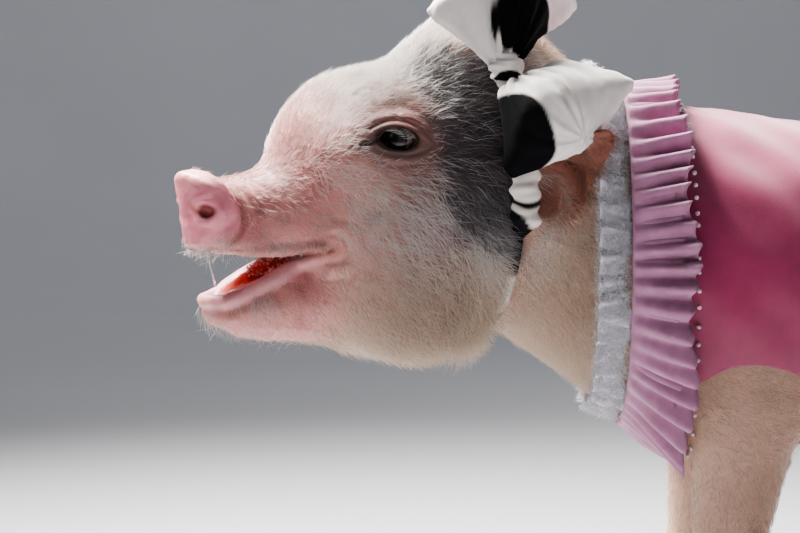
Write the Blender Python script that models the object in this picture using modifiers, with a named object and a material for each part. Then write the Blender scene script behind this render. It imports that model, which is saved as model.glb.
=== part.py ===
"""A young miniature pig, standing with its head turned to its left and its mouth open.

It wears a bow on a headband, and a dress with a lace collar. Metres, +Z up, the body faces -X.
The flesh is one smooth blend of named forms, meshed as a whole and parted by thin cuts.
"""
import math

import bmesh
import bpy
import numpy as np
from mathutils import Matrix, Vector

MM = 0.001
GAP = 0.0003                    # what touching pieces keep between them
CLOTH_GAP = 0.0010              # what the bow keeps to what it lies on

# Where the head and the trunk are
HEAD_TURN = math.radians(27)    # the head's turn to its own left
HEAD_AT = (-0.2014, -0.0400)    # the point between the eyes, seen from above
BODY_Y = 0.0                    # the trunk's middle plane

# The eye and the nose
EYE_AT = (-4, 36.5, 300)        # the left eyeball's centre: forward, left, up from the floor
EYE_RADIUS = 11.0
EYE_FORWARD = math.radians(27)  # how far the eye looks forward of straight sideways
LID_OPENING = (9.0, 5.2)        # half the length and half the height of the opening
LID_DEPTH = 7.0                 # how deep the lids' edge is cut, half of it
EYE_BULGE = 2.6                 # how far the flesh of the lids stands off the eyeball
EYE_ROOM = 0.9                  # and how far the socket's wall does
NOSE_AT = (87, 0, 265.5)        # the middle of the nose disc
NOSE_RADIUS = 21.0
NOSE_WIDE = 1.1                 # its width against its height
NOSE_BEND = 26.0                # the radius that bends its sides back
NOSE_TILT = math.radians(9)     # the disc's top edge leans forward
NOSE_THICKNESS = 14.0
NOSE_RIM = 4.5
NOSTRIL = ((8, 17.0, 0.5), (-8, 12.0, 0.5), (4.8, 3.2), (2.2, 1.8))   # its ends and half sizes

# The mouth: the corner, and the lips' height further forward
MOUTH_CORNER = (31, 247.5)
UPPER_LIP = (60, 245)
LOWER_LIP = (76, 224.5)
MOUTH_HOLLOW = ((50, 0, 236), (30, 13, 12))   # its centre, and half its size
PAST_SNOUT = 130                # a forward distance that clears the snout
PAST_CHEEK = 90                 # and one to the side that clears the cheeks
UNDER_JAW = 150                 # a height that clears the throat

# The feet
TOE_TOP = 0.024
FRONT_FOOT_X = -0.014
HIND_FOOT_X = 0.222
FOOT_OUT = 0.045
TOE_FORWARD = 0.004             # how far the hoof lies ahead of the foot's middle
TOE_LENGTH = 0.030
TOE_WIDTH = 0.0122
TOE_TAPER = 0.82                # the top's size against the sole's
TOE_LEAN = 0.0035
TOE_PART = 0.0010               # the cleft between the two halves of a hoof
DEWCLAW = ((6, 40), (15, 27))   # its root and its tip, behind the foot and up from the floor
DEWCLAW_RADII = (0.0048, 0.0022)
DEWCLAW_OUT = 7

# Where the flesh is parted: the head from the neck, and the jaw and the snout from the head
NECK_CUT = -92
JAW_CUT = (24, 249.2)           # where the jaw's cut starts, behind the corner of the mouth
JAW_CUT_FALL = 0.30             # how steeply it runs down and forward, between the lips
SNOUT_CUT = 66
HEAD_SPARE = 14                 # how much of the neck is meshed with the head, then trimmed
LEGS = {                        # each pair's box: from and to along X, its top, and the foot's X
    "foreleg": (-70, 45, 158, FRONT_FOOT_X),
    "hind_leg": (165, 300, 150, HIND_FOOT_X),
}
LEG_INSIDE = 14                 # how far from the middle plane the boxes start
LEG_OUTSIDE = 120               # how far from it they end
LEG_UNDER = -10                 # and how low
SIDES = ((1, "left"), (-1, "right"))

# Lids, lips, ears and tongue
LID_RADIUS = 1.3
LID_POINTS = 18
LID_TILT = 0.08                 # how much the front corner lies higher, by its length
LOWER_LID = 0.8                 # the opening's height under its middle, against that over it
LIP_RADIUS = 2.6
LIP_MIDDLE = 44                 # where the rays that find the lips start, forward
LIP_SPAN = math.radians(256)
LIP_POINTS = 17
EAR_ROOT = (-68, 51, 263)
EAR_TIP = (-92, 95, 306)
EAR_FACES = (0.45, 0.8, -0.2)  # where the cup opens to
EAR_WIDTH = 42
EAR_CUP = 9.0
EAR_BOW = 3.0                   # how far the ear's middle bends back
EAR_GRID = 9
EAR_THICKNESS = 0.0026
TONGUE = ((52, 0, 228), (22, 11, 5))

# The tail
TAIL_Z = 282
TAIL_DROP = 80
TAIL_SWING = 7
TAIL_RADII = (5.6, 2.2)
INSIDE_RUMP = 200.0             # an X inside the rump, where the rays that find it start

# The dress, round the trunk
TRUNK_AXIS_Z = 0.235
COLLAR_X = -0.0665
WAIST_X = 0.100
NECK_END_X = COLLAR_X + 0.012
BODICE_OFF = 2.8                # how far the cloth stands off the skin, in millimetres
CLOTH = 0.0018
FRILL = 0.0012
BODICE_GRID = (8, 26)           # its rows along X, and points round it
ARM_HOLE = ((-8, 56, 146), (44, 44, 52))
SKIRT_REST = 0.55               # how much less the skirt stands off along the back
SKIRT_FLARES = 20               # the offset from which it does so
FRILLS = {                      # start, rows along X, offsets, waves, pleats, points to one, degrees
    "dress_collar_ruffle": (COLLAR_X, (0, 0.012, 0.026), (5.8, 10.0, 13.5), (0.3, 1.6, 2.6), 20, 3, 360),
    "dress_lace": (COLLAR_X, (-0.016, -0.009, -0.002), (6.5, 4.0, 1.6), (1.2, 0.8, 0.3), 18, 3, 360),
    "dress_skirt": (WAIST_X, (-0.014, 0.024, 0.062), (6.0, 21.0, 36.0), (0.5, 3.0, 4.5), 18, 4, 250),
}

# The headband and its bow, in head millimetres
BAND_U = -59
BAND_WIDTH = 15
BAND_AXIS_Z = 282
BAND_OFF = 1.6
BAND_THICKNESS = 0.005
BAND_POINTS = 36
KNOT = ((-56, 51, 336), (9, 9, 10))
LOBES = {
    "bow_lobe_near": (((-52, 60, 322), (-53, 66, 287), (-106, 80, 327), (-80, 66, 335)),
                      (-72, 75, 312), (23, 14, 20)),
    "bow_lobe_far": (((-55, 50, 340), (-29, 33, 364), (-104, 30, 369), (-74, 18, 399)),
                     (-62, 40, 368), (24, 14, 24)),
}

LOBE_CORNER = 4.5               # the radius of a lobe's corners

# The bristles, in locks: rows forward in the head's frame, the height that their angles are
# measured about, the first and last angle from the top, locks to a row, their length and width
LOCKS = {
    "crest": ((22, 8, -7, -22), 270, -40, 40, 5, 24, 9),
    "jowls": ((14, -3, -20), 270, 114, 246, 8, 26, 11),
    "nape": ((-69,), 270, 104, 256, 8, 20, 11),
    "chin": ((60, 46), 224, 120, 240, 3, 18, 9),
}
LOCK_ENDS = {                   # how far back each group may reach
    "crest": BAND_U + BAND_WIDTH / 2,
    "jowls": BAND_U + BAND_WIDTH / 2,
    "nape": NECK_CUT,
    "chin": JAW_CUT[0],
}
LOCK_RINGS = (                  # each ring's place along the lock, rise, width and thickness
    (0.0, -2.6, 0.8, 1.4),
    (0.4, -0.3, 1.0, 1.4),
    (0.74, 0.5, 0.6, 1.0),
)
LOCK_TIP_UP = 1.0
LOCK_SCATTER = (2.0, 0.15)      # how unevenly the roots stand: forward, and in parts of their spacing
LOCK_LENGTHS = (0.85, 1.1)      # the shortest and the longest, against the group's length
LOCK_DROOP = 0.35               # how far the lie of the coat turns down, low on the sides of the head
DROOP_HEIGHTS = (300, 60)       # the height where that starts, and the drop over which it grows
BAND_CLEAR = 2.0                # what a lock's tip keeps to the headband and to the cut behind the jaw
TAIL_LOCKS = 5
TAIL_LOCK = (24, 5.0)
TAIL_TUFT = (0.62, 0.97)        # the stretch of the tail that they grow from
TAIL_LOCK_TURN = math.radians(137.5)
TAIL_LOCK_RISE = 0.6            # their rise against that of the head's locks
SEED = 7

PAINTS = {                      # each material's colour and roughness
    "skin": ((0.82, 0.62, 0.56), 0.6),
    "ear": ((0.62, 0.30, 0.20), 0.7),
    "eye": ((0.12, 0.08, 0.06), 0.1),
    "tongue": ((0.75, 0.36, 0.36), 0.35),
    "hoof": ((0.30, 0.24, 0.20), 0.5),
    "satin": ((0.78, 0.25, 0.42), 0.4),
    "tulle": ((0.90, 0.66, 0.74), 0.7),
    "lace": ((0.92, 0.91, 0.92), 0.8),
    "bow": ((0.93, 0.91, 0.88), 0.8),
}

# The meshes
ROUGH_NECK_END = 40             # half the thickness of the plain neck's ends, along X
LOBE_VOXEL = 0.0035
BODY_VOXEL = 0.0030
HEAD_VOXEL = 0.0015
HEAD_TRIANGLES = 2400
BODY_TRIANGLES = 2600
LOBE_TRIANGLES = 220
BODY_BLEND = 26.0


def unit(v):
    v = np.asarray(v, float)
    return v / np.linalg.norm(v)


# Frames: the head's forward, left and up, and the trunk's own X, Y and Z, both in millimetres


def from_head(points):
    """Millimetres forward, left and up in the head's frame, to metres in the world."""
    p = np.atleast_2d(np.asarray(points, float)) * MM
    c, s = math.cos(HEAD_TURN), math.sin(HEAD_TURN)
    x = HEAD_AT[0] - p[:, 0] * c + p[:, 1] * s
    y = HEAD_AT[1] - p[:, 0] * s - p[:, 1] * c
    return np.column_stack([x, y, p[:, 2]])


def to_head(points):
    """Metres in the world, to millimetres forward, left and up in the head's frame."""
    dx = points[:, 0] - HEAD_AT[0]
    dy = points[:, 1] - HEAD_AT[1]
    c, s = math.cos(HEAD_TURN), math.sin(HEAD_TURN)
    return np.column_stack([-dx * c - dy * s, dx * s - dy * c, points[:, 2]]) / MM


def from_body(points):
    """Millimetres along, left of and above the trunk's middle line on the floor, to metres."""
    p = np.atleast_2d(np.asarray(points, float)) * MM
    return np.column_stack([p[:, 0], BODY_Y - p[:, 1], p[:, 2]])


def to_body(points):
    return np.column_stack([points[:, 0], BODY_Y - points[:, 1], points[:, 2]]) / MM


# Distance fields: negative inside, in millimetres


def blob(p, centre, radii):
    """An ellipsoid."""
    q = p - np.asarray(centre, float)
    r = np.asarray(radii, float)
    k0 = np.linalg.norm(q / r, axis=1)
    k1 = np.linalg.norm(q / r**2, axis=1)
    return k0 * (k0 - 1) / np.maximum(k1, 1e-9)


def tube(p, start, end, start_radii, end_radii):
    """A tapered round-ended bar, with its half width to the left and its half height at each end."""
    a, b = np.asarray(start, float), np.asarray(end, float)
    length = np.linalg.norm(b - a)
    along = (b - a) / length
    left = unit(np.cross([0, 0, 1], along) if abs(along[2]) < 0.9 else np.cross(along, [1, 0, 0]))
    up = np.cross(along, left)
    q = p - a
    t = np.clip(q @ along / length, 0, 1)
    wide = start_radii[0] + (end_radii[0] - start_radii[0]) * t
    high = start_radii[1] + (end_radii[1] - start_radii[1]) * t
    rest = (q @ along) - t * length
    x, y, z = q @ left / wide, q @ up / high, rest / np.minimum(wide, high)
    k0 = np.sqrt(x**2 + y**2 + z**2)
    k1 = np.sqrt((x / wide) ** 2 + (y / high) ** 2 + (z / np.minimum(wide, high)) ** 2)
    return k0 * (k0 - 1) / np.maximum(k1, 1e-9)


def join(a, b, k):
    """A smooth union that rounds the crease over about k."""
    h = np.clip(0.5 + 0.5 * (b - a) / k, 0, 1)
    return b + (a - b) * h - k * h * (1 - h)


def carve(a, b, k):
    """Takes b out of a, with an edge rounded over about k."""
    return -join(-a, b, k)


# The forms of the flesh. Each row: kind, sizes, and how widely it blends into the rows before it.
# Those of the head are forward, left, up; rows off the middle stand on both sides.
HEAD_FORMS = [
    ("blob", (-9, 0, 291), (55, 46, 47), 1),                         # forehead
    ("blob", (-66, 0, 313), (48, 46, 54), 24),                       # poll
    ("blob", (-52, 0, 268), (52, 54, 56), 26),                       # back of the skull
    ("blob", (-20, 25, 249), (53, 32, 60), 22),                      # cheek and jowl
    ("blob", (8, 30, 291), (24, 18, 20), 16),                        # brow and cheekbone
    ("tube", (12, 0, 262), (70, 0, 262), (38, 34), (21.5, 20), 16),  # muzzle
    ("tube", (0, 0, 225), (75, 0, 216), (34, 31), (18.5, 10.5), 12),  # lower jaw
]
BODY_FORMS = [
    ("blob", (-8, 0, 230), (86, 68, 80), 1),                         # chest
    ("blob", (88, 0, 221), (112, 76, 85), 30),                       # belly
    ("blob", (196, 0, 233), (82, 70, 77), 30),                       # rump
    ("blob", (-14, 44, 205), (46, 30, 66), 22),                      # shoulder
    ("blob", (208, 40, 196), (54, 34, 70), 24),                      # ham
    ("tube", (-6, 44, 165), (-16, 45, 80), (25, 28), (15, 16), 16),  # upper foreleg
    ("tube", (-16, 45, 80), (-15, 45, 30), (14.5, 15), (12.5, 13.5), 5),
    ("tube", (212, 44, 172), (238, 45, 92), (30, 36), (14.5, 17), 18),  # gaskin
    ("tube", (238, 45, 92), (224, 45, 34), (14.5, 17), (13, 14), 5),
]
NECK_FROM = (-62, 0, 290)
NECK_FROM_RADII = (54, 66)
NECK_TO = (-40, 0, 232)
NECK_TO_RADII = (64, 73)


def both_sides(points):
    """The points with those right of the middle plane mirrored to its left."""
    return np.column_stack([points[:, 0], abs(points[:, 1]), points[:, 2]])


def form_distance(row, points):
    """One row's distance field, in millimetres; rows off the middle stand on both sides."""
    folded = both_sides(points) if row[1][1] else points
    kind = blob if row[0] == "blob" else tube
    return kind(folded, *row[1:-1])


def nose_frame(p):
    """Head millimetres in the nose disc's own frame: out of the face, left, up its face."""
    q = p - np.asarray(NOSE_AT, float)
    c, s = math.cos(NOSE_TILT), math.sin(NOSE_TILT)
    out = q[:, 0] * c - q[:, 2] * s + q[:, 1] ** 2 / (2 * NOSE_BEND)
    return np.column_stack([out, q[:, 1], q[:, 2] * c + q[:, 0] * s])


def nose_distance(p):
    """A disc with a rounded rim."""
    q = nose_frame(p)
    across = np.hypot(q[:, 1] / NOSE_WIDE, q[:, 2])
    past_rim = across - (NOSE_RADIUS - NOSE_RIM)
    past_face = abs(q[:, 0]) - (NOSE_THICKNESS / 2 - NOSE_RIM)
    flat = np.column_stack([past_rim, past_face])
    outside = np.linalg.norm(np.maximum(flat, 0), axis=1)
    return outside + np.minimum(flat.max(axis=1), 0) - NOSE_RIM


def nostril_distance(p):
    return tube(both_sides(nose_frame(p)), *NOSTRIL)


def mouth_distance(p):
    """The open mouth: a wedge between the lips, and the hollow behind them."""
    corner_u, corner_z = MOUTH_CORNER
    up_slope = (UPPER_LIP[1] - corner_z) / (UPPER_LIP[0] - corner_u)
    low_slope = (LOWER_LIP[1] - corner_z) / (LOWER_LIP[0] - corner_u)
    ahead = p[:, 0] - corner_u
    top = corner_z + np.maximum(ahead * up_slope, UPPER_LIP[1] - corner_z)
    low = corner_z + np.maximum(ahead * low_slope, LOWER_LIP[1] - corner_z)
    wedge = np.max([p[:, 2] - top, low - p[:, 2], -ahead], axis=0)
    hollow = blob(p, *MOUTH_HOLLOW)
    return join(wedge * 0.9, hollow, 3)


def eye_frame(p):
    """Head millimetres in the eye's frame: forward along the lids, out of the eye, up."""
    q = p - np.asarray(EYE_AT, float)
    c, s = math.cos(EYE_FORWARD), math.sin(EYE_FORWARD)
    return np.column_stack([q[:, 0] * c - q[:, 1] * s, q[:, 1] * c + q[:, 0] * s, q[:, 2]])


def head_distance(points):
    """The head's flesh without its openings, in millimetres, for points in the head's frame."""
    f = form_distance(HEAD_FORMS[0], points)
    for row in HEAD_FORMS[1:]:
        f = join(f, form_distance(row, points), row[-1])
    f = join(f, nose_distance(points), 3.5)
    return join(f, eye_distance(points) - EYE_BULGE, 7)


def eye_distance(points):
    """Millimetres from the nearer eye's centre, less the eyeball's radius."""
    return np.linalg.norm(both_sides(points) - EYE_AT, axis=1) - EYE_RADIUS


def openings(f, points):
    """Takes the mouth, the nostrils and the eyes out of the head's flesh."""
    f = carve(f, mouth_distance(points), 2.5)
    f = carve(f, nostril_distance(points), 2.0)
    length, height = LID_OPENING
    lids = blob(eye_frame(both_sides(points)), (0, EYE_RADIUS + 1, 0), (length, LID_DEPTH, height))
    f = carve(f, lids, 1.2)
    return carve(f, eye_distance(points) - EYE_ROOM, 0.8)


def plain_flesh(world):
    """The whole pig's flesh without ears, tail and openings, in millimetres."""
    in_body = to_body(world)
    f = form_distance(BODY_FORMS[0], in_body)
    for row in BODY_FORMS[1:]:
        f = join(f, form_distance(row, in_body), row[-1])
    f = join(f, neck_distance(in_body), BODY_BLEND)
    return join(f, head_distance(to_head(world)), 18)


def flesh(world):
    return openings(plain_flesh(world), to_head(world))


def neck_distance(in_body):
    start = to_body(from_head(NECK_FROM))[0]
    return tube(in_body, start, NECK_TO, NECK_FROM_RADII, NECK_TO_RADII)


def trunk(world):
    """The neck and trunk without legs, that the dress goes round."""
    in_body = to_body(world)
    f = form_distance(BODY_FORMS[0], in_body)
    for row in BODY_FORMS[1:5]:
        f = join(f, form_distance(row, in_body), row[-1])
    return join(f, neck_distance(in_body), BODY_BLEND)


def slope(field, points, step=0.0004):
    """The field's value and its gradient per millimetre."""
    value = field(points)
    grad = np.empty_like(points)
    for axis in range(3):
        ahead, behind = points.copy(), points.copy()
        ahead[:, axis] += step
        behind[:, axis] -= step
        grad[:, axis] = (field(ahead) - field(behind)) / (2 * step / MM)
    return value, grad


def settle(field, points, rounds=4, most=2.5):
    """Moves points along the field's gradient until they lie on its surface."""
    p = points.copy()
    for _ in range(rounds):
        value, grad = slope(field, p)
        size = np.maximum((grad**2).sum(axis=1), 0.04)
        step = -value / size
        move = grad * np.clip(step, -most, most)[:, None]
        p += move * MM
    return p


# Blender helpers


def clear_scene():
    for obj in list(bpy.data.objects):
        bpy.data.objects.remove(obj, do_unlink=True)


def collection(name):
    made = bpy.data.collections.new(name)
    bpy.context.scene.collection.children.link(made)
    return made


def material(name, colour, roughness=0.6):
    made = bpy.data.materials.new(name)
    made.use_nodes = True
    shader = made.node_tree.nodes["Principled BSDF"]
    shader.inputs["Base Color"].default_value = (*colour, 1)
    shader.inputs["Roughness"].default_value = roughness
    shader.inputs["Metallic"].default_value = 0.0
    return made


def add_object(name, mesh, into):
    obj = bpy.data.objects.new(name, mesh)
    into.objects.link(obj)
    return obj


def mesh_from(bm, name):
    mesh = bpy.data.meshes.new(name)
    bm.to_mesh(mesh)
    bm.free()
    return mesh


def apply_modifiers(obj):
    """Replaces the object's mesh by what its modifiers make of it."""
    graph = bpy.context.evaluated_depsgraph_get()
    made = bpy.data.meshes.new_from_object(obj.evaluated_get(graph))
    obj.modifiers.clear()
    old = obj.data
    obj.data = made
    bpy.data.meshes.remove(old)
    return obj


def vertices(obj):
    out = np.empty(len(obj.data.vertices) * 3)
    obj.data.vertices.foreach_get("co", out)
    return out.reshape(-1, 3)


def place_vertices(obj, points):
    obj.data.vertices.foreach_set("co", points.ravel())
    obj.data.update()


def face_outwards(obj):
    bm = bmesh.new()
    bm.from_mesh(obj.data)
    bmesh.ops.recalc_face_normals(bm, faces=bm.faces)
    bm.to_mesh(obj.data)
    bm.free()
    return obj


def largest_body(obj):
    """Keeps the largest closed surface of a mesh, and drops scraps."""
    bm = bmesh.new()
    bm.from_mesh(obj.data)
    left, bodies = set(bm.faces), []
    while left:
        front = [left.pop()]
        body = set(front)
        while front:
            face = front.pop()
            near = {f for e in face.edges for f in e.link_faces} & left
            left -= near
            body |= near
            front.extend(near)
        bodies.append(body)
    bodies.sort(key=lambda body: sum(f.calc_area() for f in body))
    extra = [f for body in bodies[:-1] for f in body]
    bmesh.ops.delete(bm, geom=extra, context="FACES")
    bm.to_mesh(obj.data)
    bm.free()
    return obj


def combine(obj, other, operation, solver="EXACT"):
    """One Boolean of an object with another, applied."""
    change = obj.modifiers.new(operation.lower(), "BOOLEAN")
    change.operation = operation
    change.object = other
    change.solver = solver
    return largest_body(apply_modifiers(obj))


def drop(*objects):
    for obj in objects:
        bpy.data.objects.remove(obj, do_unlink=True)


def copy_of(obj, name, into):
    return add_object(name, obj.data.copy(), into)


def swollen(obj, by, into):
    """A copy that stands proud of the object all over."""
    grown = copy_of(obj, obj.name + "_swollen", into)
    push = grown.modifiers.new("swell", "DISPLACE")
    push.strength = by
    push.mid_level = 0.0
    return apply_modifiers(grown)


def cut_clear(obj, others, into, gap=GAP):
    """Cuts an object back until it keeps the gap to the others.

    A swollen copy can fold over itself in a crease, where the EXACT solver fails.
    """
    for other in others:
        grown = swollen(other, gap, into)
        combine(obj, grown, "DIFFERENCE", solver="MANIFOLD")
        drop(grown)
    return obj


def box(name, low, high, into):
    bm = bmesh.new()
    bmesh.ops.create_cube(bm, size=1)
    low, high = Vector(low), Vector(high)
    bmesh.ops.scale(bm, vec=high - low, verts=bm.verts)
    bmesh.ops.translate(bm, vec=(low + high) / 2, verts=bm.verts)
    return add_object(name, mesh_from(bm, name), into)


def ball(name, centre, radius, into, detail=(14, 10)):
    bm = bmesh.new()
    bmesh.ops.create_uvsphere(bm, u_segments=detail[0], v_segments=detail[1], radius=radius)
    bmesh.ops.translate(bm, vec=Vector(centre), verts=bm.verts)
    return add_object(name, mesh_from(bm, name), into)


# The flesh


def ellipsoid_points(centre, radii, to_world, detail=3):
    """The corners of a sphere primitive, stretched to an ellipsoid and set in the world."""
    bm = bmesh.new()
    bmesh.ops.create_icosphere(bm, subdivisions=detail, radius=1)
    points = np.array([v.co[:] for v in bm.verts]) * radii + np.asarray(centre, float)
    bm.free()
    return to_world(points)


def hull(points):
    """A closed convex mesh round the points."""
    bm = bmesh.new()
    for point in points:
        bm.verts.new(point)
    made = bmesh.ops.convex_hull(bm, input=bm.verts)
    bmesh.ops.delete(bm, geom=made["geom_interior"], context="VERTS")
    return bm


def rough_parts(row, to_world):
    """The plain solids of one row of forms, for the remesh that gives the flesh its mesh."""
    sides = (1,) if row[1][1] == 0 else (1, -1)
    for side in sides:
        flip = np.array([1, side, 1])
        if row[0] == "blob":
            yield hull(ellipsoid_points(row[1] * flip, row[2], to_world))
        else:
            ends = []
            for centre, (wide, high) in ((row[1], row[3]), (row[2], row[4])):
                upright = abs(row[2][2] - row[1][2]) > abs(row[2][0] - row[1][0])
                radii = (high, wide, min(wide, high)) if upright else (min(wide, high), wide, high)
                ends.append(ellipsoid_points(centre * flip, radii, to_world))
            yield hull(np.concatenate(ends))


def remeshed(obj, voxel):
    change = obj.modifiers.new("one_skin", "REMESH")
    change.mode = "VOXEL"
    change.voxel_size = voxel
    return largest_body(apply_modifiers(obj))


def relaxed(obj, field, rounds, free=None):
    """Evens the mesh out along the surface, and puts it back on the field each time."""
    edges = np.array([e.vertices[:] for e in obj.data.edges])
    count = np.bincount(edges.ravel(), minlength=len(obj.data.vertices))[:, None]
    p = vertices(obj)
    for _ in range(rounds):
        total = np.zeros_like(p)
        np.add.at(total, edges[:, 0], p[edges[:, 1]])
        np.add.at(total, edges[:, 1], p[edges[:, 0]])
        moved = settle(field, p * 0.4 + total / count * 0.6, rounds=2)
        p = moved if free is None else np.where(free[:, None], moved, p)
    place_vertices(obj, p)
    return obj


def rough_cutters():
    """The plain solids of the mouth, the nostrils, the lid openings and the eyeballs."""
    top, low = UPPER_LIP, LOWER_LIP
    outline = [MOUTH_CORNER, top, (PAST_SNOUT, top[1]), (PAST_SNOUT, low[1]), low]
    yield hull(from_head([(u, side * PAST_CHEEK, z) for side in (1, -1) for u, z in outline]))
    yield hull(ellipsoid_points(*MOUTH_HOLLOW, from_head))
    for side in (1, -1):
        ends = []
        for place, radii in ((NOSTRIL[0], NOSTRIL[2]), (NOSTRIL[1], NOSTRIL[3])):
            centre = np.array(NOSE_AT) + np.array(place) * (1, side, 1)
            ends.append(ellipsoid_points(centre, (1, *radii), from_head))
        yield hull(np.concatenate(ends))
        centre = np.array(EYE_AT) * (1, side, 1)
        front = eye_point(side, 0, EYE_RADIUS + 1, 0)
        yield hull(ellipsoid_points(front, (LID_OPENING[0], LID_DEPTH, LID_OPENING[1]), from_head))
        yield hull(ellipsoid_points(centre, (EYE_RADIUS,) * 3, from_head))


def make_flesh(into):
    """The pig's flesh as one closed mesh: rough solids, one skin, then the smooth blend."""
    whole = bmesh.new()
    rows = [(row, from_head) for row in HEAD_FORMS] + [(row, from_body) for row in BODY_FORMS]
    parts = [part for row, frame in rows for part in rough_parts(row, frame)]
    neck_start = to_body(from_head(NECK_FROM))[0]
    ends = [ellipsoid_points(place, (ROUGH_NECK_END, *radii), from_body)
            for place, radii in ((neck_start, NECK_FROM_RADII), (NECK_TO, NECK_TO_RADII))]
    parts.append(hull(np.concatenate(ends)))
    disc = (NOSE_THICKNESS / 2, NOSE_RADIUS, NOSE_RADIUS)
    parts.append(hull(ellipsoid_points(NOSE_AT, disc, from_head)))
    for part in parts:
        mesh = mesh_from(part, "rough")
        whole.from_mesh(mesh)
        bpy.data.meshes.remove(mesh)
    bmesh.ops.recalc_face_normals(whole, faces=whole.faces)
    obj = add_object("flesh", mesh_from(whole, "flesh"), into)
    remeshed(obj, BODY_VOXEL)
    place_vertices(obj, settle(plain_flesh, vertices(obj), rounds=4))
    return relaxed(obj, plain_flesh, 3)


def make_head(body, into, cutters):
    """The head: the front of the flesh, meshed finer, with mouth, nostrils and eye sockets."""
    head = copy_of(body, "head", into)
    trim(head, on_neck(NECK_CUT - HEAD_SPARE), head_axis(1, 0), cutters)
    for number, part in enumerate(rough_cutters()):
        cutter = add_object(f"cutter_{number}", mesh_from(part, "cutter"), cutters)
        combine(head, cutter, "DIFFERENCE")
        drop(cutter)
    remeshed(head, HEAD_VOXEL)
    points = vertices(head)
    free = to_head(points)[:, 0] > NECK_CUT - HEAD_SPARE / 2
    moved = settle(flesh, points, rounds=6)
    place_vertices(head, np.where(free[:, None], moved, points))
    relaxed(head, flesh, 2, free)
    decimated(head, HEAD_TRIANGLES)
    return trim(head, on_neck(NECK_CUT), head_axis(1, 0), cutters)


def on_neck(u):
    """A point in the middle of the neck, so far forward of the head's zero."""
    return from_head((u, 0, BAND_AXIS_Z))[0]


def decimated(obj, triangles):
    bm = bmesh.new()
    bm.from_mesh(obj.data)
    bmesh.ops.triangulate(bm, faces=bm.faces)
    bm.to_mesh(obj.data)
    bm.free()
    thin = obj.modifiers.new("fewer_faces", "DECIMATE")
    thin.ratio = triangles / len(obj.data.polygons)
    return apply_modifiers(obj)


# Cuts


def head_axis(forward, left):
    """A level direction given in the head's frame, in the world."""
    c, s = math.cos(HEAD_TURN), math.sin(HEAD_TURN)
    return Vector((-forward * c + left * s, -forward * s - left * c, 0)).normalized()


def half_space(name, point, normal, into, size=1.2):
    """A large box that fills the side of a plane that its normal points to."""
    turn = Vector(normal).to_track_quat("Z", "Y").to_matrix().to_4x4()
    bm = bmesh.new()
    bmesh.ops.create_cube(bm, size=size)
    bmesh.ops.translate(bm, vec=(0, 0, size / 2), verts=bm.verts)
    bmesh.ops.transform(bm, matrix=Matrix.Translation(Vector(point)) @ turn, verts=bm.verts)
    return add_object(name, mesh_from(bm, name), into)


def trim(obj, point, normal, cutters):
    """Keeps what is on the side of a plane that its normal points to."""
    side = half_space("side", point, normal, cutters)
    combine(obj, side, "INTERSECT")
    drop(side)
    return obj


def split(obj, point, normal, name, into, cutters):
    """Parts an object by a thin cut; what is on the normal's side gets the new name."""
    ahead = copy_of(obj, name, into)
    normal = Vector(normal).normalized()
    trim(ahead, Vector(point) + normal * GAP / 2, normal, cutters)
    trim(obj, Vector(point) - normal * GAP / 2, -normal, cutters)
    return ahead


def part_off(obj, region, name, into, cutters):
    """Parts an object by the faces of a closed region; what is inside gets the new name."""
    inside = copy_of(obj, name, into)
    combine(inside, region, "INTERSECT")
    grown = copy_of(region, "region_grown", cutters)
    middle = vertices(region).mean(axis=0)
    points = vertices(grown)
    place_vertices(grown, points + np.sign(points - middle) * GAP)
    combine(obj, grown, "DIFFERENCE")
    drop(grown, region)
    return inside


# Surfaces that follow the body


def reach(field, origins, directions, offset, most=0.2):
    """How far along each ray the field rises to an offset, from origins inside."""
    low, high = np.zeros(len(origins)), np.full(len(origins), most)
    for _ in range(24):
        middle = (low + high) / 2
        inside = field(origins + directions * middle[:, None]) < offset
        low, high = np.where(inside, middle, low), np.where(inside, high, middle)
    return (low + high) / 2


def around_trunk(x, angle, offset):
    """Points round the trunk at X, by angle from the top towards its left, off its surface in mm."""
    x, angle, offset = np.broadcast_arrays(np.asarray(x, float), angle, offset)
    middle = np.column_stack([x, np.full_like(x, BODY_Y), TRUNK_AXIS_Z + 0 * x])
    out = np.column_stack([0 * x, -np.sin(angle), np.cos(angle)])
    return middle + out * (reach(trunk, middle, out, 0.0) + offset * MM)[:, None]


def grid_shell(name, points, thickness, into, ring=True):
    """A sheet through a grid of points, rows by columns, made solid outwards."""
    rows, columns = points.shape[:2]
    bm = bmesh.new()
    made = [[bm.verts.new(p) for p in row] for row in points]
    for r in range(rows - 1):
        for c in range(columns if ring else columns - 1):
            d = (c + 1) % columns
            bm.faces.new((made[r][c], made[r][d], made[r + 1][d], made[r + 1][c]))
    bmesh.ops.triangulate(bm, faces=bm.faces, quad_method="FIXED")
    obj = add_object(name, mesh_from(bm, name), into)
    solid = obj.modifiers.new("thickness", "SOLIDIFY")
    solid.thickness = thickness
    solid.offset = 1.0
    solid.use_quality_normals = True
    return face_outwards(apply_modifiers(obj))


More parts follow.
